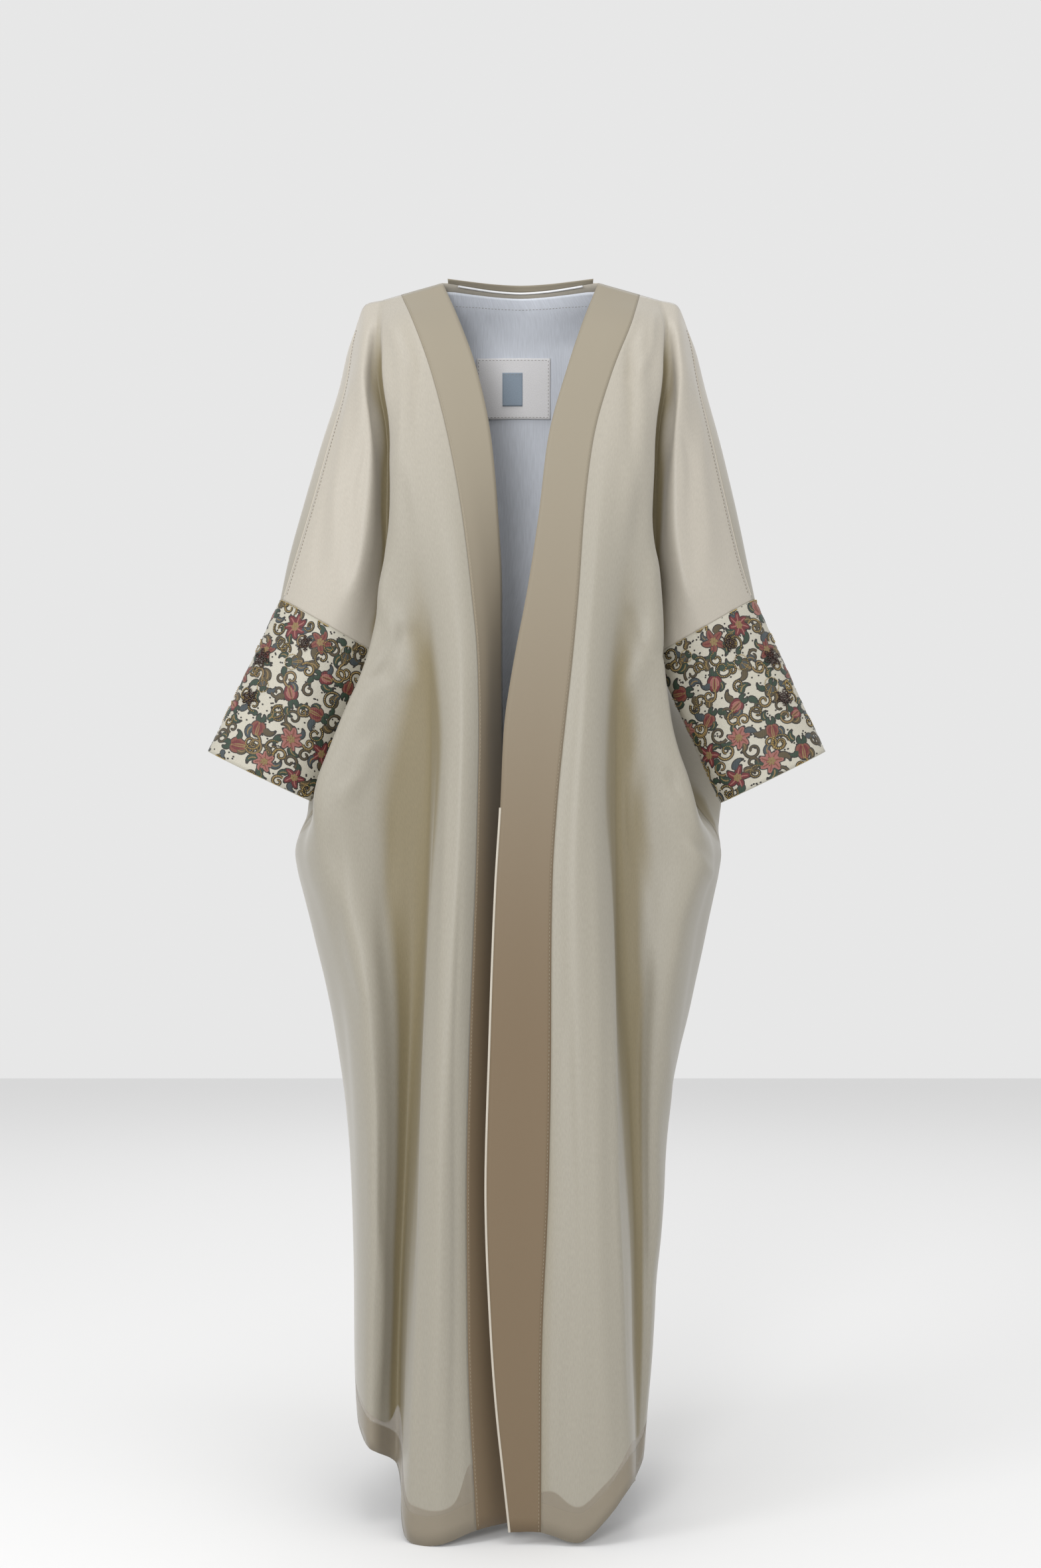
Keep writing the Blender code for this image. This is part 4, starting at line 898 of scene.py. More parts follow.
# Small folds, as seen from the front: x and z of both ends, bend, half width, and rise,
# which makes a trough where it is negative
rightCreases = (
    (-0.176, -0.070, -0.158, -0.330, 0.004, 0.0070, -0.0040),
    (-0.150, -0.050, -0.140, -0.260, -0.006, 0.0100, 0.0026),
    (-0.122, -0.110, -0.135, -0.330, 0.004, 0.0090, -0.0018),
    (-0.160, -0.045, -0.128, -0.130, 0.003, 0.0060, 0.0014),
    (-0.112, -0.060, -0.124, -0.190, -0.003, 0.0080, 0.0014),
    (-0.205, -0.110, -0.222, -0.370, 0.006, 0.0080, 0.0024),
    (-0.222, -0.150, -0.250, -0.372, -0.004, 0.0060, -0.0016),
    (-0.190, -0.190, -0.205, -0.380, 0.004, 0.0070, -0.0026),
    (-0.160, -0.350, -0.130, -0.500, 0.010, 0.0100, 0.0030),
    (-0.185, -0.500, -0.130, -0.420, 0.008, 0.0090, -0.0024),
    (-0.205, -0.640, -0.165, -0.560, -0.006, 0.0090, 0.0030),
    (-0.222, -0.660, -0.190, -0.900, 0.010, 0.0100, -0.0034),
    (-0.150, -0.600, -0.155, -1.380, 0.008, 0.0120, -0.0030),
    (-0.108, -0.420, -0.118, -1.440, 0.004, 0.0070, -0.0036),
    (-0.086, -0.560, -0.104, -1.440, -0.003, 0.0060, 0.0020),
    (-0.070, -0.720, -0.076, -1.440, 0.002, 0.0050, -0.0016),
    (-0.176, -1.000, -0.160, -1.330, -0.004, 0.0080, 0.0026),
    (-0.098, -0.620, -0.126, -1.450, 0.002, 0.0036, 0.0030),
    (-0.062, -0.860, -0.062, -1.450, 0.001, 0.0034, 0.0024),
)
leftCreases = (
    (0.181, -0.075, 0.160, -0.340, -0.004, 0.0070, -0.0042),
    (0.153, -0.050, 0.142, -0.290, 0.006, 0.0100, 0.0026),
    (0.124, -0.080, 0.136, -0.350, -0.005, 0.0090, -0.0020),
    (0.165, -0.040, 0.132, -0.150, -0.004, 0.0060, 0.0016),
    (0.210, -0.110, 0.220, -0.360, -0.006, 0.0080, 0.0024),
    (0.195, -0.180, 0.206, -0.375, -0.003, 0.0070, -0.0026),
    (0.232, -0.160, 0.252, -0.370, 0.004, 0.0060, -0.0014),
    (0.160, -0.340, 0.128, -0.520, -0.010, 0.0110, 0.0032),
    (0.172, -0.470, 0.128, -0.400, -0.006, 0.0080, -0.0022),
    (0.178, -0.590, 0.222, -0.700, 0.008, 0.0060, -0.0040),
    (0.186, -0.610, 0.238, -0.735, 0.012, 0.0060, 0.0036),
    (0.140, -0.560, 0.160, -0.860, 0.008, 0.0120, 0.0030),
    (0.112, -0.480, 0.120, -1.430, -0.003, 0.0070, -0.0034),
    (0.150, -0.800, 0.140, -1.360, 0.006, 0.0100, -0.0034),
    (0.086, -0.640, 0.100, -1.430, 0.003, 0.0060, 0.0018),
    (0.058, -0.860, 0.056, -1.430, -0.002, 0.0060, -0.0016),
    (0.176, -0.900, 0.158, -1.200, -0.004, 0.0070, 0.0026),
    (0.098, -0.620, 0.122, -1.440, -0.002, 0.0036, 0.0028),
    (0.047, -0.900, 0.040, -1.440, 0.001, 0.0034, 0.0020),
)
backCreases = (
    (-0.150, -0.060, -0.120, -0.420, 0.008, 0.0120, 0.0032),
    (0.148, -0.070, 0.118, -0.400, -0.006, 0.0120, 0.0034),
    (-0.060, -0.040, -0.075, -0.260, 0.004, 0.0100, 0.0020),
    (0.070, -0.045, 0.060, -0.300, -0.004, 0.0100, 0.0022),
    (-0.200, -0.120, -0.225, -0.370, 0.006, 0.0090, 0.0028),
    (0.202, -0.120, 0.222, -0.365, -0.006, 0.0090, 0.0028),
    (-0.184, -0.200, -0.200, -0.375, -0.004, 0.0070, -0.0026),
    (0.186, -0.190, 0.200, -0.375, 0.004, 0.0070, -0.0026),
    (-0.165, -0.420, -0.110, -0.560, 0.010, 0.0100, -0.0030),
    (0.160, -0.430, 0.112, -0.570, -0.010, 0.0100, -0.0030),
    (-0.205, -0.660, -0.160, -1.100, 0.012, 0.0120, 0.0040),
    (0.190, -0.660, 0.150, -1.050, -0.012, 0.0120, 0.0040),
    (-0.080, -0.560, -0.072, -1.380, 0.004, 0.0080, -0.0036),
    (-0.026, -0.500, -0.022, -1.380, -0.003, 0.0080, 0.0024),
    (0.034, -0.600, 0.026, -1.380, 0.004, 0.0080, -0.0034),
    (0.092, -0.520, 0.078, -1.380, -0.004, 0.0080, 0.0026),
)


def addCreases(grid, outward, creases, fade):
    # Push the cloth out or in along short bent lines
    normal = surfaceNormals(grid, outward)
    x, z = grid[..., 0], grid[..., 2]
    rise = np.zeros_like(x)
    for xTop, zTop, xEnd, zEnd, bend, halfWidth, height in creases:
        length = math.hypot(xEnd - xTop, zEnd - zTop)
        alongX, alongZ = (xEnd - xTop) / length, (zEnd - zTop) / length
        part = ((x - xTop) * alongX + (z - zTop) * alongZ) / length
        off = (x - xTop) * alongZ - (z - zTop) * alongX
        off = off - bend * 4 * part * (1 - part) + halfWidth * 0.35 * np.sin(part * 9.0 + xTop * 60.0)
        width = halfWidth * (0.75 + 0.5 * np.clip(part, 0, 1))
        ends = smoothStep(part * 4.0 + 0.25) * smoothStep((1.0 - part) * 4.0 + 0.25)
        rise += height * ends * np.exp(-(off / width) ** 2)
    return grid + normal * (rise * fade)[..., None]


def fineFade(rows, cols, seams, sleeveRow, bodyRange, reach=7.0):
    # Nought at the seams and the hem of a fine grid, one inside the panel
    fade = np.ones((rows, cols)) * smoothStep(np.arange(rows) / reach)[:, None]
    for seam in seams:
        fade *= smoothStep(np.abs(np.arange(cols) - seam) / reach)[None, :]
    nearCuff = smoothStep(np.abs(np.arange(rows) - sleeveRow) / reach)
    for start, end in bodyRange:
        fade[:, start:end] *= nearCuff[:, None]
    return fade


def makeFront(side):
    coarse = grids["front_" + nodeWord[side]]
    rows, cols = coarse.shape[:2]
    fade, nearCuff = edgeFade((rows, cols), sleeveRows, (0, bodyCols, cols - 1))
    fade[:, bodyCols:] *= nearCuff[:, None]
    folds = frontRightFolds if side < 0 else frontLeftFolds
    moved = addFolds(coarse, side, folds, fade, rows - 1)
    moved[sleeveRows:, bodyCols:] = coarse[sleeveRows:, bodyCols:]
    moved = relaxGrid(moved, presentFront(rows, cols, sleeveRows, bodyCols), junctions)
    grid = refine(moved, cloth["down"], cloth["across"])
    rows, cols = grid.shape[:2]
    fade = fineFade(rows, cols, (0, fineBodyCol, cols - 1), fineSleeveRow, ((fineBodyCol, cols),))
    fade[fineSleeveRow:, fineBodyCol:] = 0.0
    grid = addCreases(grid, side, rightCreases if side < 0 else leftCreases, fade)
    below = hemDistance(grid, ((fineBodyCol + 1, cols),))
    below[:fineSleeveRow + 1, fineBodyCol] = 1.0
    # Painted shade: the hollow attribute marks hollows and shaded fold sides for the khaki
    shade = np.clip(hollowness(grid, side) + columnShade(grid), -1.0, 1.0)
    extra = {"hemDistance": below, "hollow": shade, "satinEnd": satinEnds(grid),
             "sleeve": paintedLightShare(grid)}
    item = makeMesh("front" + sideWord[side], grid, side, outerCloth, cloth["wall"],
                    presentFront(rows, cols, fineSleeveRow, fineBodyCol), extra)
    dress(item, "front_" + nodeWord[side])
    return grid


def makeBand(side):
    grid = refine(grids["band_" + nodeWord[side]], cloth["down"], cloth["across"])
    item = makeMesh("band" + sideWord[side], grid, side, bandCloth, cloth["bandWall"],
                    originCol=grid.shape[1] - 1)
    dress(item, "band_" + nodeWord[side])
    return grid


def makeBack():
    coarse = grids["back"]
    rows, cols = coarse.shape[:2]
    seams = (0, sleeveCols, cols - 1 - sleeveCols, cols - 1)
    fade = edgeFade((rows, cols), sleeveRows, seams)[0]
    moved = addFolds(coarse, -1, backFolds, fade, rows - 1)
    for start, end in ((0, sleeveCols), (cols - sleeveCols, cols)):
        moved[:, start:end] = coarse[:, start:end]
    moved = relaxGrid(moved, presentBack(rows, cols, sleeveRows, sleeveCols), junctions)
    grid = refine(moved, cloth["down"], cloth["across"])
    rows, cols = grid.shape[:2]
    edges = (0, fineSleeveCol, cols - 1 - fineSleeveCol, cols - 1)
    sleeves = ((0, fineSleeveCol), (cols - fineSleeveCol, cols))
    fade = fineFade(rows, cols, edges, fineSleeveRow, sleeves)
    fade[fineSleeveRow:, :fineSleeveCol] = 0.0
    fade[fineSleeveRow:, cols - fineSleeveCol:] = 0.0
    grid = addCreases(grid, -1, backCreases, fade)
    below = hemDistance(grid, sleeves)
    # Painted light: the back paler towards the shoulders
    paintedLight = smoothStep((grid[..., 2] + 0.42) / 0.36)
    # The hollow attribute marks where painted shade goes on the back
    extra = {"hemDistance": below, "hollow": hollowness(grid, -1), "satinEnd": satinEnds(grid),
             "sleeve": paintedLight}
    item = makeMesh("backPanel", grid, -1, outerCloth, cloth["wall"],
                    presentBack(rows, cols, fineSleeveRow, fineSleeveCol), extra)
    dress(item, "back")
    return moved, grid


def cuffSurface(side, frontFine, backFine):
    # A cuff as a tube, from the sleeve's end down to its open hem
    frontHalf = frontFine[fineSleeveRow, fineBodyCol:]
    if side < 0:
        backHalf = backFine[fineSleeveRow, 1:fineSleeveCol + 1]
    else:
        backHalf = backFine[fineSleeveRow, ::-1][1:fineSleeveCol + 1]
    top = np.concatenate((frontHalf, backHalf[:-1]))
    inner, outer = top[0].copy(), frontHalf[-1]
    wide = outer - inner
    reach = np.linalg.norm(wide) / 2
    wide = wide / (2 * reach)
    thick = np.array((0.0, 1.0, 0.0))
    thick = thick - wide * thick.dot(wide)
    thick = thick / np.linalg.norm(thick)
    centre = (inner + outer) / 2
    depth = (top - centre).dot(thick)
    angle = np.arctan2(depth / abs(depth).max(), (top - centre).dot(wide) / reach)
    (nearX, nearZ), (farX, farZ) = cuffCorners[nodeWord[side]]
    near = np.array((side * nearX, cuffEndY, nearZ))
    far = np.array((side * farX, cuffEndY, farZ))
    bottom = ((near + far) / 2 + np.outer(np.cos(angle), far - near) / 2
              + np.outer(np.sin(angle), (0.0, 1.0, 0.0)) * cuffDepth / 2)
    share = np.linspace(0.0, 1.0, cuffRows * cloth["cuffRows"] + 1)[:, None, None]
    grid = top[None] * (1 - share) + bottom[None] * share
    return np.concatenate((grid, grid[:, :1]), axis=1)


def makeCuff(side, frontFine, backFine):
    grid = cuffSurface(side, frontFine, backFine)
    item = makeMesh("cuff" + sideWord[side], grid, side, cuffCloth, cloth["cuffWall"], closed=True)
    dress(item, "cuff_" + nodeWord[side])
    return grid


def makeLining(moved):
    # The back's points moved in
    first = sleeveCols + backCounts[0]
    last = moved.shape[1] - first
    rows = list(liningRows) + list(range(liningRows[-1] + 2, liningLastRow + 1, 2))
    inward = moved - surfaceNormals(moved, -1) * cloth["liningDepth"]
    top = inward[0] * (1 - liningTop) + inward[1] * liningTop
    coarse = np.concatenate((top[None], inward[rows]))[:, first:last]
    item = makeMesh("backLining", refine(coarse, 5, 3), -1, liningCloth, cloth["thinWall"])
    dress(item, "back_lining")
    return coarse


def makePatch(lining):
    coarse = rectangleOn(lining, patchSides, patchGrid, cloth["patchLift"])
    grid = refine(coarse, 6, 6)
    item = makeMesh("labelPatch", grid, -1, patchCloth, cloth["wall"])
    dress(item, "label_patch")
    small = refine(rectangleOn(coarse, labelSides, labelGrid, cloth["labelLift"]), 10, 8)
    label = makeMesh("labelTag", small, -1, labelCloth, cloth["thinWall"])
    dress(label, "label")
    return grid, small


def makeNeckBand(moved):
    first = sleeveCols + sum(backCounts[:3])
    last = moved.shape[1] - first
    edge = moved[0, first:last].copy()
    edge[0] = edge[0] * (1 - neckBandStart) + edge[1] * neckBandStart
    edge[-1] = edge[-1] * (1 - neckBandStart) + edge[-2] * neckBandStart
    rise = edge - moved[1, first:last]
    rise[:, 0] *= 0.3
    rise = rise / np.linalg.norm(rise, axis=1, keepdims=True)
    upper = edge + rise * neckBandHeight
    edge[[0, -1]] += rise[[0, -1]] * neckBandLift
    grid = refine(np.stack((upper, edge)), 4, 6)
    item = makeMesh("neckBand", grid, -1, bandCloth, cloth["neckWall"])
    dress(item, "neck_band")
    return grid


fineFront, fineBand, fineCuff = {}, {}, {}
backCoarse, fineBack = makeBack()
for side in (-1, 1):
    fineFront[side] = makeFront(side)
    fineBand[side] = makeBand(side)
    fineCuff[side] = makeCuff(side, fineFront[side], fineBack)
liningCoarse = makeLining(backCoarse)
patchFine, labelFine = makePatch(liningCoarse)
neckFine = makeNeckBand(backCoarse)
print("sheets made")


# Brocade of the cuffs: flowers, leaves and scrolls in thin raised colours, then beads
cuffArt = {"across": 8, "down": 5, "flower": 0.0165, "leaf": 0.0128, "scroll": 0.0122,
           "lineWidth": 0.0011, "bead": 0.00075, "beadStep": 0.0021, "beadLift": 0.0009,
           "darkBead": 0.0011, "darkStep": 0.0022, "darkLift": 0.0005, "seed": 7}
threadColours = {
    "darkLine": (0.012, 0.009, 0.007),
    "deepRed": (0.105, 0.008, 0.010),
    "dustyRose": (0.250, 0.092, 0.075),
    "rust": (0.150, 0.040, 0.024),
    "deepGreen": (0.012, 0.032, 0.016),
    "slateBlue": (0.032, 0.044, 0.050),
    "oliveGold": (0.062, 0.044, 0.016),
    "oldGold": (0.190, 0.125, 0.045),
}
threadOrder = list(threadColours)


def threadMaterial(name, colour):
    # Woven thread: fine diagonal ribs in the colour and the bump
    material = plainMaterial(name, (0.8, 0.8, 0.8), 0.55, 0.15)
    tree = material.node_tree
    shader = tree.nodes["Principled BSDF"]
    place = node(tree, "ShaderNodeTexCoord")
    wave = node(tree, "ShaderNodeTexWave")
    wave.inputs["Scale"].default_value = 260.0
    wave.inputs["Distortion"].default_value = 1.5
    tree.links.new(place.outputs["Object"], wave.inputs["Vector"])
    darker, lighter = (tuple(min(1.0, share * part) for part in colour) for share in (0.72, 1.25))
    tree.links.new(mixColour(tree, wave.outputs["Fac"], darker, lighter), shader.inputs["Base Color"])
    bump = node(tree, "ShaderNodeBump")
    bump.inputs["Distance"].default_value = 0.0003
    bump.inputs["Strength"].default_value = 0.5
    tree.links.new(wave.outputs["Fac"], bump.inputs["Height"])
    tree.links.new(bump.outputs["Normal"], shader.inputs["Normal"])
    return material


class Motifs:
    # Gathers small raised shapes, laid out flat, that are then carried onto the cuff
    def __init__(self):
        self.points, self.faces, self.colours = [], [], []

    def strip(self, middle, halfWidth, height, colour):
        # A strip of two rows of faces along a line, highest in the middle
        middle = np.asarray(middle, dtype=float)
        along = np.gradient(middle, axis=0)
        along /= np.maximum(np.linalg.norm(along, axis=1, keepdims=True), 1e-9)
        side = np.stack((-along[:, 1], along[:, 0]), axis=1) * np.asarray(halfWidth)[:, None]
        start = len(self.points)
        for index in range(len(middle)):
            for share, lift in ((-1.0, 0.45), (0.0, 1.0), (1.0, 0.45)):
                spot = middle[index] + side[index] * share
                self.points.append((spot[0], spot[1], height * lift))
        for index in range(len(middle) - 1):
            for col in (0, 1):
                a = start + index * 3 + col
                self.faces.append((a, a + 3, a + 4, a + 1))
                self.colours.append(threadOrder.index(colour))

    def petal(self, root, turn, length, width, colour, inner=None, height=0.0005, curl=0.0, tip=0.8):
        # A leaf or petal: a dark outline below, the colour above, a second colour inside
        part = np.linspace(0.0, 1.0, 9)
        shape = np.sin(np.pi * part ** tip) ** 0.8
        bend = curl * part ** 2
        line = np.stack((np.cos(turn + bend) * part, np.sin(turn + bend) * part), axis=1) * length
        line = line + np.asarray(root)
        edge = cuffArt["lineWidth"]
        self.strip(line, shape * width / 2 + edge, height * 0.6, "darkLine")
        self.strip(line[:-1], shape[:-1] * width / 2, height, colour)
        if inner:
            self.strip(line[1:-2], shape[1:-2] * width / 5, height * 1.25, inner)

    def scroll(self, root, turn, size, way, colour, turns=1.15):
        # A spiral tendril; gives its line back for the beads
        part = np.linspace(0.0, 1.0, 22)
        radius = size * (1 - 0.80 * part)
        angle = turn + way * part * turns * 2 * math.pi
        centre = np.asarray(root) - size * np.array((math.cos(turn), math.sin(turn)))
        line = centre + np.stack((np.cos(angle), np.sin(angle)), axis=1) * radius[:, None]
        width = cuffArt["lineWidth"] * (1.1 - 0.5 * part)
        self.strip(line, width + 0.0009, 0.00035, "darkLine")
        self.strip(line, width, 0.00050, colour)
        return line


def cuffFrame(grid):
    # Even lengths round the tube and down it, with the normals
    seamless = np.concatenate((grid[:, -3:-1], grid[:, :-1], grid[:, :2]), axis=1)
    normals = surfaceNormals(seamless, 1)[:, 2:-2]
    normals = np.concatenate((normals, normals[:, :1]), axis=1)
    middle = grid[grid.shape[0] // 2]
    arc = np.concatenate(((0.0,), np.cumsum(np.linalg.norm(np.diff(middle, axis=0), axis=1))))
    depth = np.linalg.norm(grid[-1] - grid[0], axis=1).mean()
    return {"grid": grid, "normals": normals, "arc": arc, "round": arc[-1], "depth": depth}


def onCuff(tube, flat, outward, base):
    # Carry flat points (round, down, height) onto the cuff
    flat = np.asarray(flat)
    rows, cols = tube["grid"].shape[:2]
    col = np.interp(np.mod(flat[:, 0], tube["round"]), tube["arc"], np.arange(cols))
    row = np.clip(flat[:, 1] / tube["depth"], 0.004, 0.996) * (rows - 1)
    c = np.minimum(col.astype(int), cols - 2)
    r = np.minimum(row.astype(int), rows - 2)
    fc, fr = (col - c)[:, None], (row - r)[:, None]

    def blend(values):
        return ((values[r, c] * (1 - fc) + values[r, c + 1] * fc) * (1 - fr)
                + (values[r + 1, c] * (1 - fc) + values[r + 1, c + 1] * fc) * fr)
    normal = blend(tube["normals"]) * outward
    normal /= np.linalg.norm(normal, axis=1, keepdims=True)
    return blend(tube["grid"]) + normal * (flat[:, 2:3] + base)


def tulip(motifs, spot, turn, size, main, inner):
    for way, length, width in ((-0.75, 0.92, 0.52), (0.75, 0.92, 0.52),
                               (-0.36, 1.12, 0.50), (0.36, 1.12, 0.50)):
        motifs.petal(spot, turn + way, size * length, size * width, main, inner, curl=-way * 0.9)
    motifs.petal(spot, turn, size * 1.15, size * 0.46, "oldGold", main, height=0.0007)
    for way in (-2.3, 2.3):
        motifs.petal(spot, turn + way, size * 0.62, size * 0.30, "deepGreen", None, curl=way * 0.3)


def daisy(motifs, spot, turn, size, main, inner, count):
    for index in range(count):
        angle = turn + index * 2 * math.pi / count
        motifs.petal(spot, angle, size * 0.98, size * 0.46, main, inner, curl=0.25)
    for index in range(6):
        angle = turn + index * math.pi / 3
        motifs.petal(spot, angle, size * 0.36, size * 0.26, "oldGold", None, height=0.0008)


def paisleyLeaf(motifs, spot, turn, size, main, inner):
    motifs.petal(spot, turn, size * 1.25, size * 0.62, main, inner, curl=0.9, tip=0.6)


def drawCuff(tube, seed):
    # Staggered flowers with leaves between them, scrolls in the gaps, small dark dots
    chance = np.random.default_rng(seed)
    motifs = Motifs()
    beadLines = []
    stepRound = tube["round"] / cuffArt["across"]
    stepDown = tube["depth"] / cuffArt["down"]
    flowers = ("deepRed", "dustyRose", "rust")
    leaves = ("deepGreen", "slateBlue", "oliveGold", "deepGreen")
    for row in range(cuffArt["down"]):
        for col in range(cuffArt["across"]):
            spot = np.array(((col + 0.5 * (row % 2)) * stepRound, (row + 0.5) * stepDown))
            spot = spot + chance.uniform(-0.0022, 0.0022, 2)
            turn = chance.uniform(0, 2 * math.pi)
            size = cuffArt["flower"] * chance.uniform(0.80, 1.12)
            main = flowers[(col + 2 * row) % 3]
            inner = flowers[(col + 2 * row + 1) % 3]
            kind = (2 * col + 3 * row) % 5
            # Tendrils first, so that the flowers lie on them
            for index in range(3):
                angle = turn + index * math.pi * 2 / 3 + chance.uniform(-0.3, 0.3)
                reach = size * chance.uniform(0.75, 1.0)
                root = spot + reach * np.array((math.cos(angle), math.sin(angle)))
                way = 1 if (index + col) % 2 else -1
                line = motifs.scroll(root, angle + math.pi + way * 0.6,
                                     cuffArt["scroll"] * chance.uniform(0.55, 0.95), way,
                                     "oliveGold" if index else "oldGold")
                if chance.random() < 0.70:
                    beadLines.append(line)
            for index in range(4):
                angle = turn + (index + 0.5) * math.pi / 2 + chance.uniform(-0.25, 0.25)
                root = spot + size * 0.55 * np.array((math.cos(angle), math.sin(angle)))
                leafSize = cuffArt["leaf"] * chance.uniform(0.65, 1.05)
                paisleyLeaf(motifs, root, angle, leafSize, leaves[(index + col) % 4],
                            "oldGold" if index % 2 else None)
            if kind in (0, 3):
                tulip(motifs, spot, turn, size, main, inner)
            elif kind in (1, 4):
                daisy(motifs, spot, turn, size, main, inner, 7 if kind == 1 else 5)
            else:
                tulip(motifs, spot, turn, size * 0.85, "oliveGold", "slateBlue")
                ring = np.linspace(0, 6.1, 14)
                beadLines.append(spot + np.stack((np.cos(ring), np.sin(ring)), axis=1) * size * 0.55)
            for index in range(16):
                dot = spot + chance.uniform(-0.5, 0.5, 2) * (stepRound, stepDown)
                across = np.array(((-0.0012, 0.0), (0.0, 0.0), (0.0012, 0.0)))
                motifs.strip(dot + across, (0.0004, 0.0012, 0.0004), 0.0004, "darkLine")
    return motifs, beadLines


def motifPiece(name, motifs, tube, outward):
    places = onCuff(tube, motifs.points, outward, cloth["cuffWall"] / 2 + 0.00005)
    mesh = bpy.data.meshes.new(name)
    faces = motifs.faces if outward > 0 else [tuple(reversed(face)) for face in motifs.faces]
    mesh.from_pydata(places.tolist(), [], faces)
    for colour in threadOrder:
        mesh.materials.append(threadMaterials[colour])
    mesh.polygons.foreach_set("material_index", np.array(motifs.colours, dtype=np.int32))
    mesh.shade_smooth()
    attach(addItem(name, mesh), "root")


def sizedTree(name, sizeName, radius, material):
    # Geometry Nodes with a size input; whatever goes into the last node is made real and painted
    tree = bpy.data.node_groups.new(name, "GeometryNodeTree")
    tree.interface.new_socket("Geometry", in_out="INPUT", socket_type="NodeSocketGeometry")
    size = tree.interface.new_socket(sizeName, in_out="INPUT", socket_type="NodeSocketFloat")
    size.default_value = radius
    tree.interface.new_socket("Geometry", in_out="OUTPUT", socket_type="NodeSocketGeometry")
    source, target = node(tree, "NodeGroupInput"), node(tree, "NodeGroupOutput")
    real, paint = node(tree, "GeometryNodeRealizeInstances"), node(tree, "GeometryNodeSetMaterial")
    paint.inputs["Material"].default_value = material
    tree.links.new(real.outputs["Geometry"], paint.inputs["Geometry"])
    tree.links.new(paint.outputs["Geometry"], target.inputs["Geometry"])
    return tree, size.identifier, source, real


def beadTree(name, material, radius):
    # A round bead on every point
    tree, sizeInput, source, real = sizedTree(name, "Bead radius", radius, material)
    ball = node(tree, "GeometryNodeMeshIcoSphere")
    ball.inputs["Subdivisions"].default_value = 1
    smooth = node(tree, "GeometryNodeSetShadeSmooth")
    place = node(tree, "GeometryNodeInstanceOnPoints")
    tree.links.new(source.outputs["Geometry"], place.inputs["Points"])
    tree.links.new(source.outputs["Bead radius"], ball.inputs["Radius"])
    tree.links.new(ball.outputs["Mesh"], smooth.inputs["Geometry"])
    tree.links.new(smooth.outputs["Geometry"], place.inputs["Instance"])
    tree.links.new(place.outputs["Instances"], real.inputs["Geometry"])
    return tree, sizeInput


def treePiece(name, points, edges, treeMaker, material, radius):
    # Points and edges turned into real beads or threads
    mesh = bpy.data.meshes.new(name)
    mesh.from_pydata([tuple(point) for point in points], edges, [])
    item = addItem(name, mesh)
    tree, sizeInput = treeMaker(name + "Tree", material, radius)
    nodes = item.modifiers.new("pieces", "NODES")
    nodes.node_group = tree
    nodes[sizeInput] = radius
    settle(item)
    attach(item, "root")
    return item


def evenSteps(line, step):
    # Points at even steps along a line
    line = np.asarray(line)
    arc = np.concatenate(((0.0,), np.cumsum(np.linalg.norm(np.diff(line, axis=0), axis=1))))
    count = max(2, int(arc[-1] / step))
    at = np.linspace(0.0, arc[-1], count)
    return np.stack([np.interp(at, arc, line[:, axis]) for axis in range(line.shape[1])], axis=1)


def beadMaterial(name, colour, rough, metal):
    material = plainMaterial(name, colour, rough)
    material.node_tree.nodes["Principled BSDF"].inputs["Metallic"].default_value = metal
    return material


threadMaterials = {name: threadMaterial(name + "Thread", colour) for name, colour in threadColours.items()}
goldBead = beadMaterial("goldBead", (0.42, 0.31, 0.12), 0.28, 0.85)
darkBead = beadMaterial("darkBead", (0.045, 0.026, 0.022), 0.22, 0.3)
# Bead flowers: place round and down as shares of the cuff, and size, for both cuffs
beadFlowers = ((0.44, 0.36, 0.0120), (0.40, 0.60, 0.0105), (0.30, 0.16, 0.0095),
               (0.56, 0.50, 0.0105), (0.80, 0.62, 0.0110))


def beadFlowerLines(spot, size):
    # Six petals, each an outer and an inner loop of beads
    lines = []
    for index in range(6):
        part = np.linspace(-0.5, 0.5, 10) * math.pi
        angle = index * math.pi / 3 + part * 0.36
        for share in (1.0, 0.62):
            reach = np.cos(part) * size * share
            lines.append(spot + np.stack((np.cos(angle) * reach, np.sin(angle) * reach), axis=1))
    return lines


def cuffBeads(name, lines, step, tube, side, lift, material, radius):
    # Beads at even steps along flat lines, carried onto the cuff
    spots = np.concatenate([evenSteps(line, step) for line in lines])
    spots = np.concatenate((spots, np.zeros((len(spots), 1))), axis=1)
    treePiece(name, onCuff(tube, spots, side, lift), [], beadTree, material, radius)
    return len(spots)


for side in (-1, 1):
    tube = cuffFrame(fineCuff[side])
    motifs, beadLines = drawCuff(tube, cuffArt["seed"] + side)
    motifPiece("cuffFlowers" + sideWord[side], motifs, tube, side)
    lift = cloth["cuffWall"] / 2 + cuffArt["beadLift"]
    beads = cuffBeads("goldBeads" + sideWord[side], beadLines, cuffArt["beadStep"], tube, side, lift,
                      goldBead, cuffArt["bead"])
    darkLines = []
    for around, down, size in beadFlowers:
        darkLines += beadFlowerLines(np.array((around * tube["round"], down * tube["depth"])), size)
    beads += cuffBeads("darkBeads" + sideWord[side], darkLines, cuffArt["darkStep"], tube, side,
                       lift + cuffArt["darkLift"], darkBead, cuffArt["darkBead"])
    print("cuff", sideWord[side], len(motifs.faces), "faces,", beads, "beads")


# Sewing: rows of stitches and the fine cords of the seams
sewing = {"stitch": 0.0026, "gap": 0.0018, "thread": 0.00026, "fineThread": 0.00022,
          "labelThread": 0.00018, "seam": 0.00035, "cord": 0.0008, "roll": 0.0015, "piping": 0.0014}


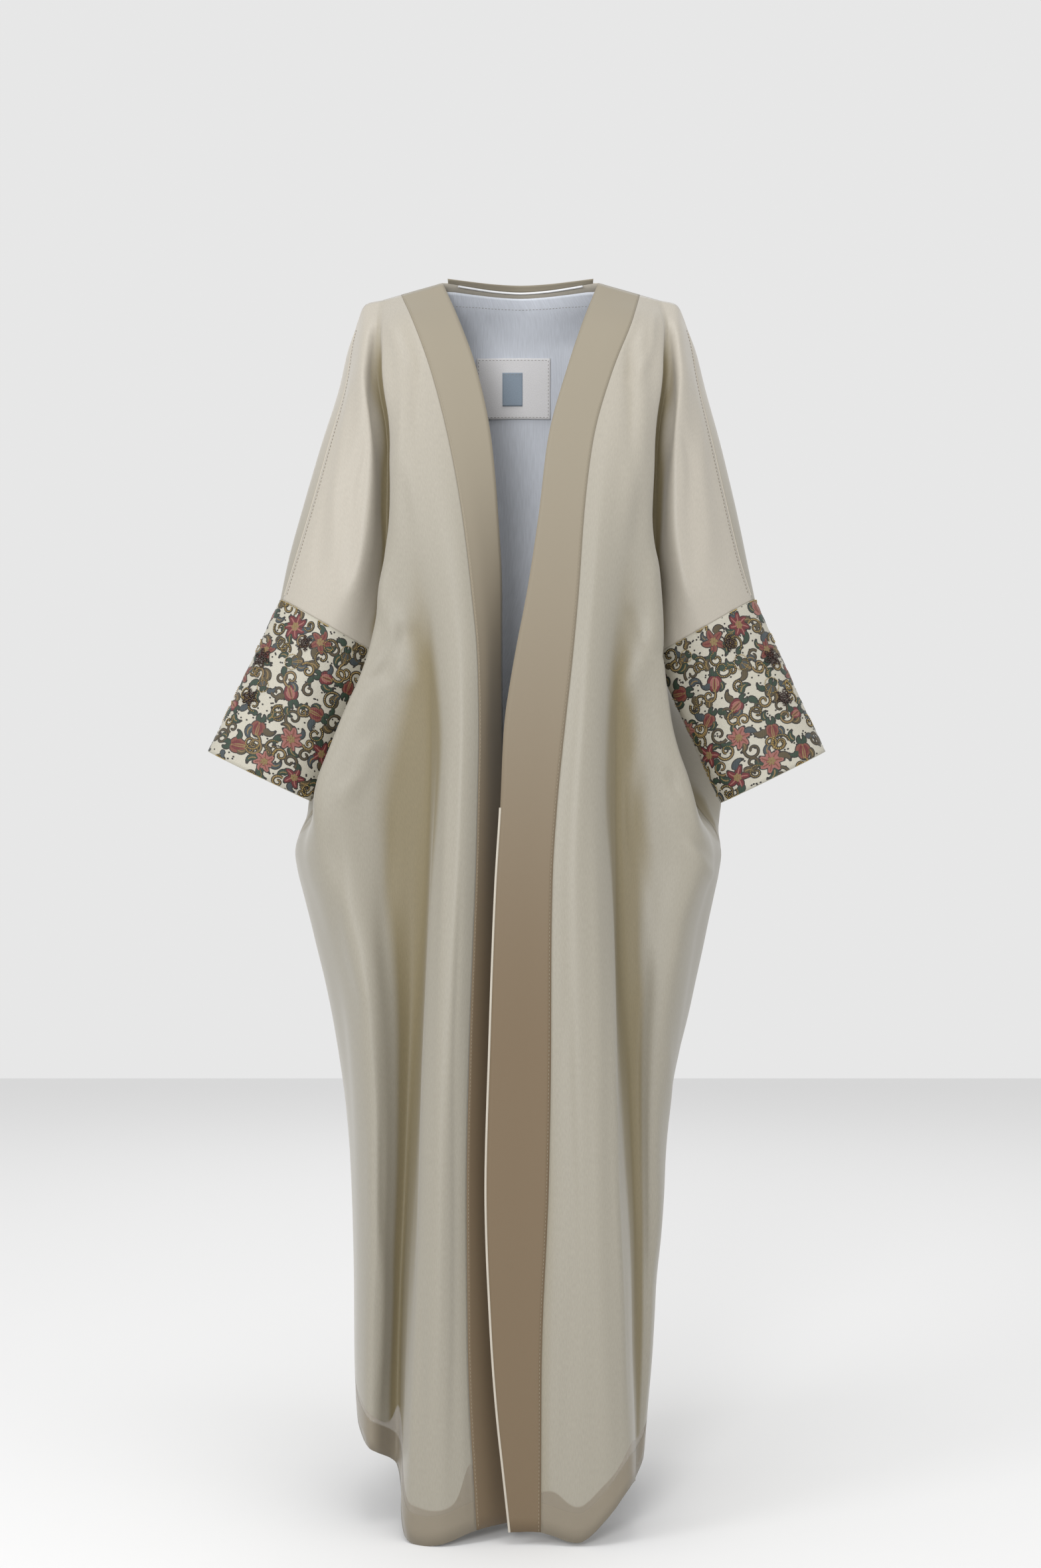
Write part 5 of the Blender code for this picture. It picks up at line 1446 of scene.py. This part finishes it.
def threadTree(name, material, radius):
    # A round thread along every edge
    tree, sizeInput, source, real = sizedTree(name, "Thread radius", radius, material)
    path = node(tree, "GeometryNodeMeshToCurve")
    ring = node(tree, "GeometryNodeCurvePrimitiveCircle")
    ring.inputs["Resolution"].default_value = 6
    tube = node(tree, "GeometryNodeCurveToMesh")
    tube.inputs["Fill Caps"].default_value = True
    tree.links.new(source.outputs["Geometry"], path.inputs["Mesh"])
    tree.links.new(source.outputs["Thread radius"], ring.inputs["Radius"])
    tree.links.new(path.outputs["Curve"], tube.inputs["Curve"])
    tree.links.new(ring.outputs["Curve"], tube.inputs["Profile Curve"])
    tree.links.new(tube.outputs["Mesh"], real.inputs["Geometry"])
    return tree, sizeInput


def threadPiece(name, line, material, radius, dashed=False):
    # A line of points becomes one tube, or a row of short stitches
    if dashed:
        even = evenSteps(line, (sewing["stitch"] + sewing["gap"]) / 4)
        firsts = range(0, len(even) - 3, 4)
        points = [even[first + step] for first in firsts for step in range(3)]
        edges = [(3 * index + step, 3 * index + step + 1) for index in range(len(firsts)) for step in (0, 1)]
    else:
        points = line
        edges = [(index, index + 1) for index in range(len(line) - 1)]
    item = treePiece(name, points, edges, threadTree, material, radius)
    item.data.shade_smooth()


def lineOn(grid, outward, col, rows, lift, inward=0.0):
    # A line down a column of a grid, lifted off the cloth and moved towards the column before
    line = grid[rows, col] + surfaceNormals(grid, outward)[rows, col] * lift
    if inward:
        beside = grid[rows, col - 1] - grid[rows, col]
        line = line + beside / np.linalg.norm(beside, axis=1, keepdims=True) * inward
    return line


allRows = slice(2, None)
sleeveRowsOnly = slice(6, fineSleeveRow - 1)
rollRows = slice(96, None)
for side in (-1, 1):
    word = sideWord[side]
    front, band = fineFront[side], fineBand[side]
    wall = cloth["bandWall"] / 2
    threadPiece("bandStitches" + word, lineOn(band, side, -1, allRows, wall + 0.0001, 0.0022),
                paleThread, sewing["thread"], True)
    threadPiece("bandSeam" + word, lineOn(band, side, -1, allRows, wall * 0.4),
                darkThread, sewing["seam"])
    threadPiece("overarmSeam" + word, lineOn(front, side, -1, sleeveRowsOnly, 0.0004),
                rolledEdge, sewing["cord"])
    threadPiece("overarmStitches" + word, lineOn(front, side, -1, sleeveRowsOnly, 0.0007, 0.0045),
                darkThread, sewing["thread"], True)
threadPiece("bandRoll", lineOn(fineBand[1], 1, 0, rollRows, 0.0), rolledEdge, sewing["roll"])


def inside(grid, share):
    # A closed line round a rectangle of cloth, a share of the way in from its edge
    rows, cols = grid.shape[:2]
    inset = max(1, int(share * rows))
    ring = [grid[inset, col] for col in range(inset, cols - inset)]
    ring += [grid[row, cols - 1 - inset] for row in range(inset, rows - inset)]
    ring += [grid[rows - 1 - inset, col] for col in range(cols - 1 - inset, inset - 1, -1)]
    ring += [grid[row, inset] for row in range(rows - 1 - inset, inset - 1, -1)]
    return np.array(ring) + (0.0, -0.0007, 0.0)


# White piping under the neck band, and the line of stitches along the lining below it
neckLine = neckFine[-1, 3:-3] + (0.0, -0.0016, -0.0016)
threadPiece("neckPiping", neckLine, whiteCord, sewing["piping"])
liningTopLine = refine(liningCoarse, 5, 3)[5, 2:-2] + (0.0, -0.0008, 0.0)
threadPiece("liningStitches", liningTopLine, darkThread, sewing["fineThread"], True)
threadPiece("patchStitches", inside(patchFine, 0.04), darkThread, sewing["fineThread"], True)
labelTopLine = inside(labelFine, 0.04)[:labelFine.shape[1]]
threadPiece("labelStitches", labelTopLine, paleThread, sewing["labelThread"], True)
print("sewing made")

# What each cloth hangs from, and what is sewn on it
hangsFrom = {
    "backPanel": (), "frontRight": ("backPanel",), "frontLeft": ("backPanel",),
    "bandRight": ("frontRight",), "bandLeft": ("frontLeft",), "neckBand": ("backPanel",),
    "cuffRight": ("frontRight", "backPanel"), "cuffLeft": ("frontLeft", "backPanel"),
    "backLining": ("backPanel",), "labelPatch": ("backLining",), "labelTag": ("labelPatch",),
}
sewnOn = {
    "bandLeft": ["bandRoll"], "neckBand": ["neckPiping"], "backLining": ["liningStitches"],
    "labelPatch": ["patchStitches"], "labelTag": ["labelStitches"],
}
for word in sideWord.values():
    for kind, pieces in (("front", ("overarmSeam", "overarmStitches")),
                         ("band", ("bandStitches", "bandSeam")),
                         ("cuff", ("cuffFlowers", "goldBeads", "darkBeads"))):
        sewnOn.setdefault(kind + word, []).extend(piece + word for piece in pieces)
# A strip narrower than this is declared as this wide, with its own area
for name, restsOn in hangsFrom.items():
    pieces = [bpy.data.objects[piece] for piece in sewnOn.get(name, ())]
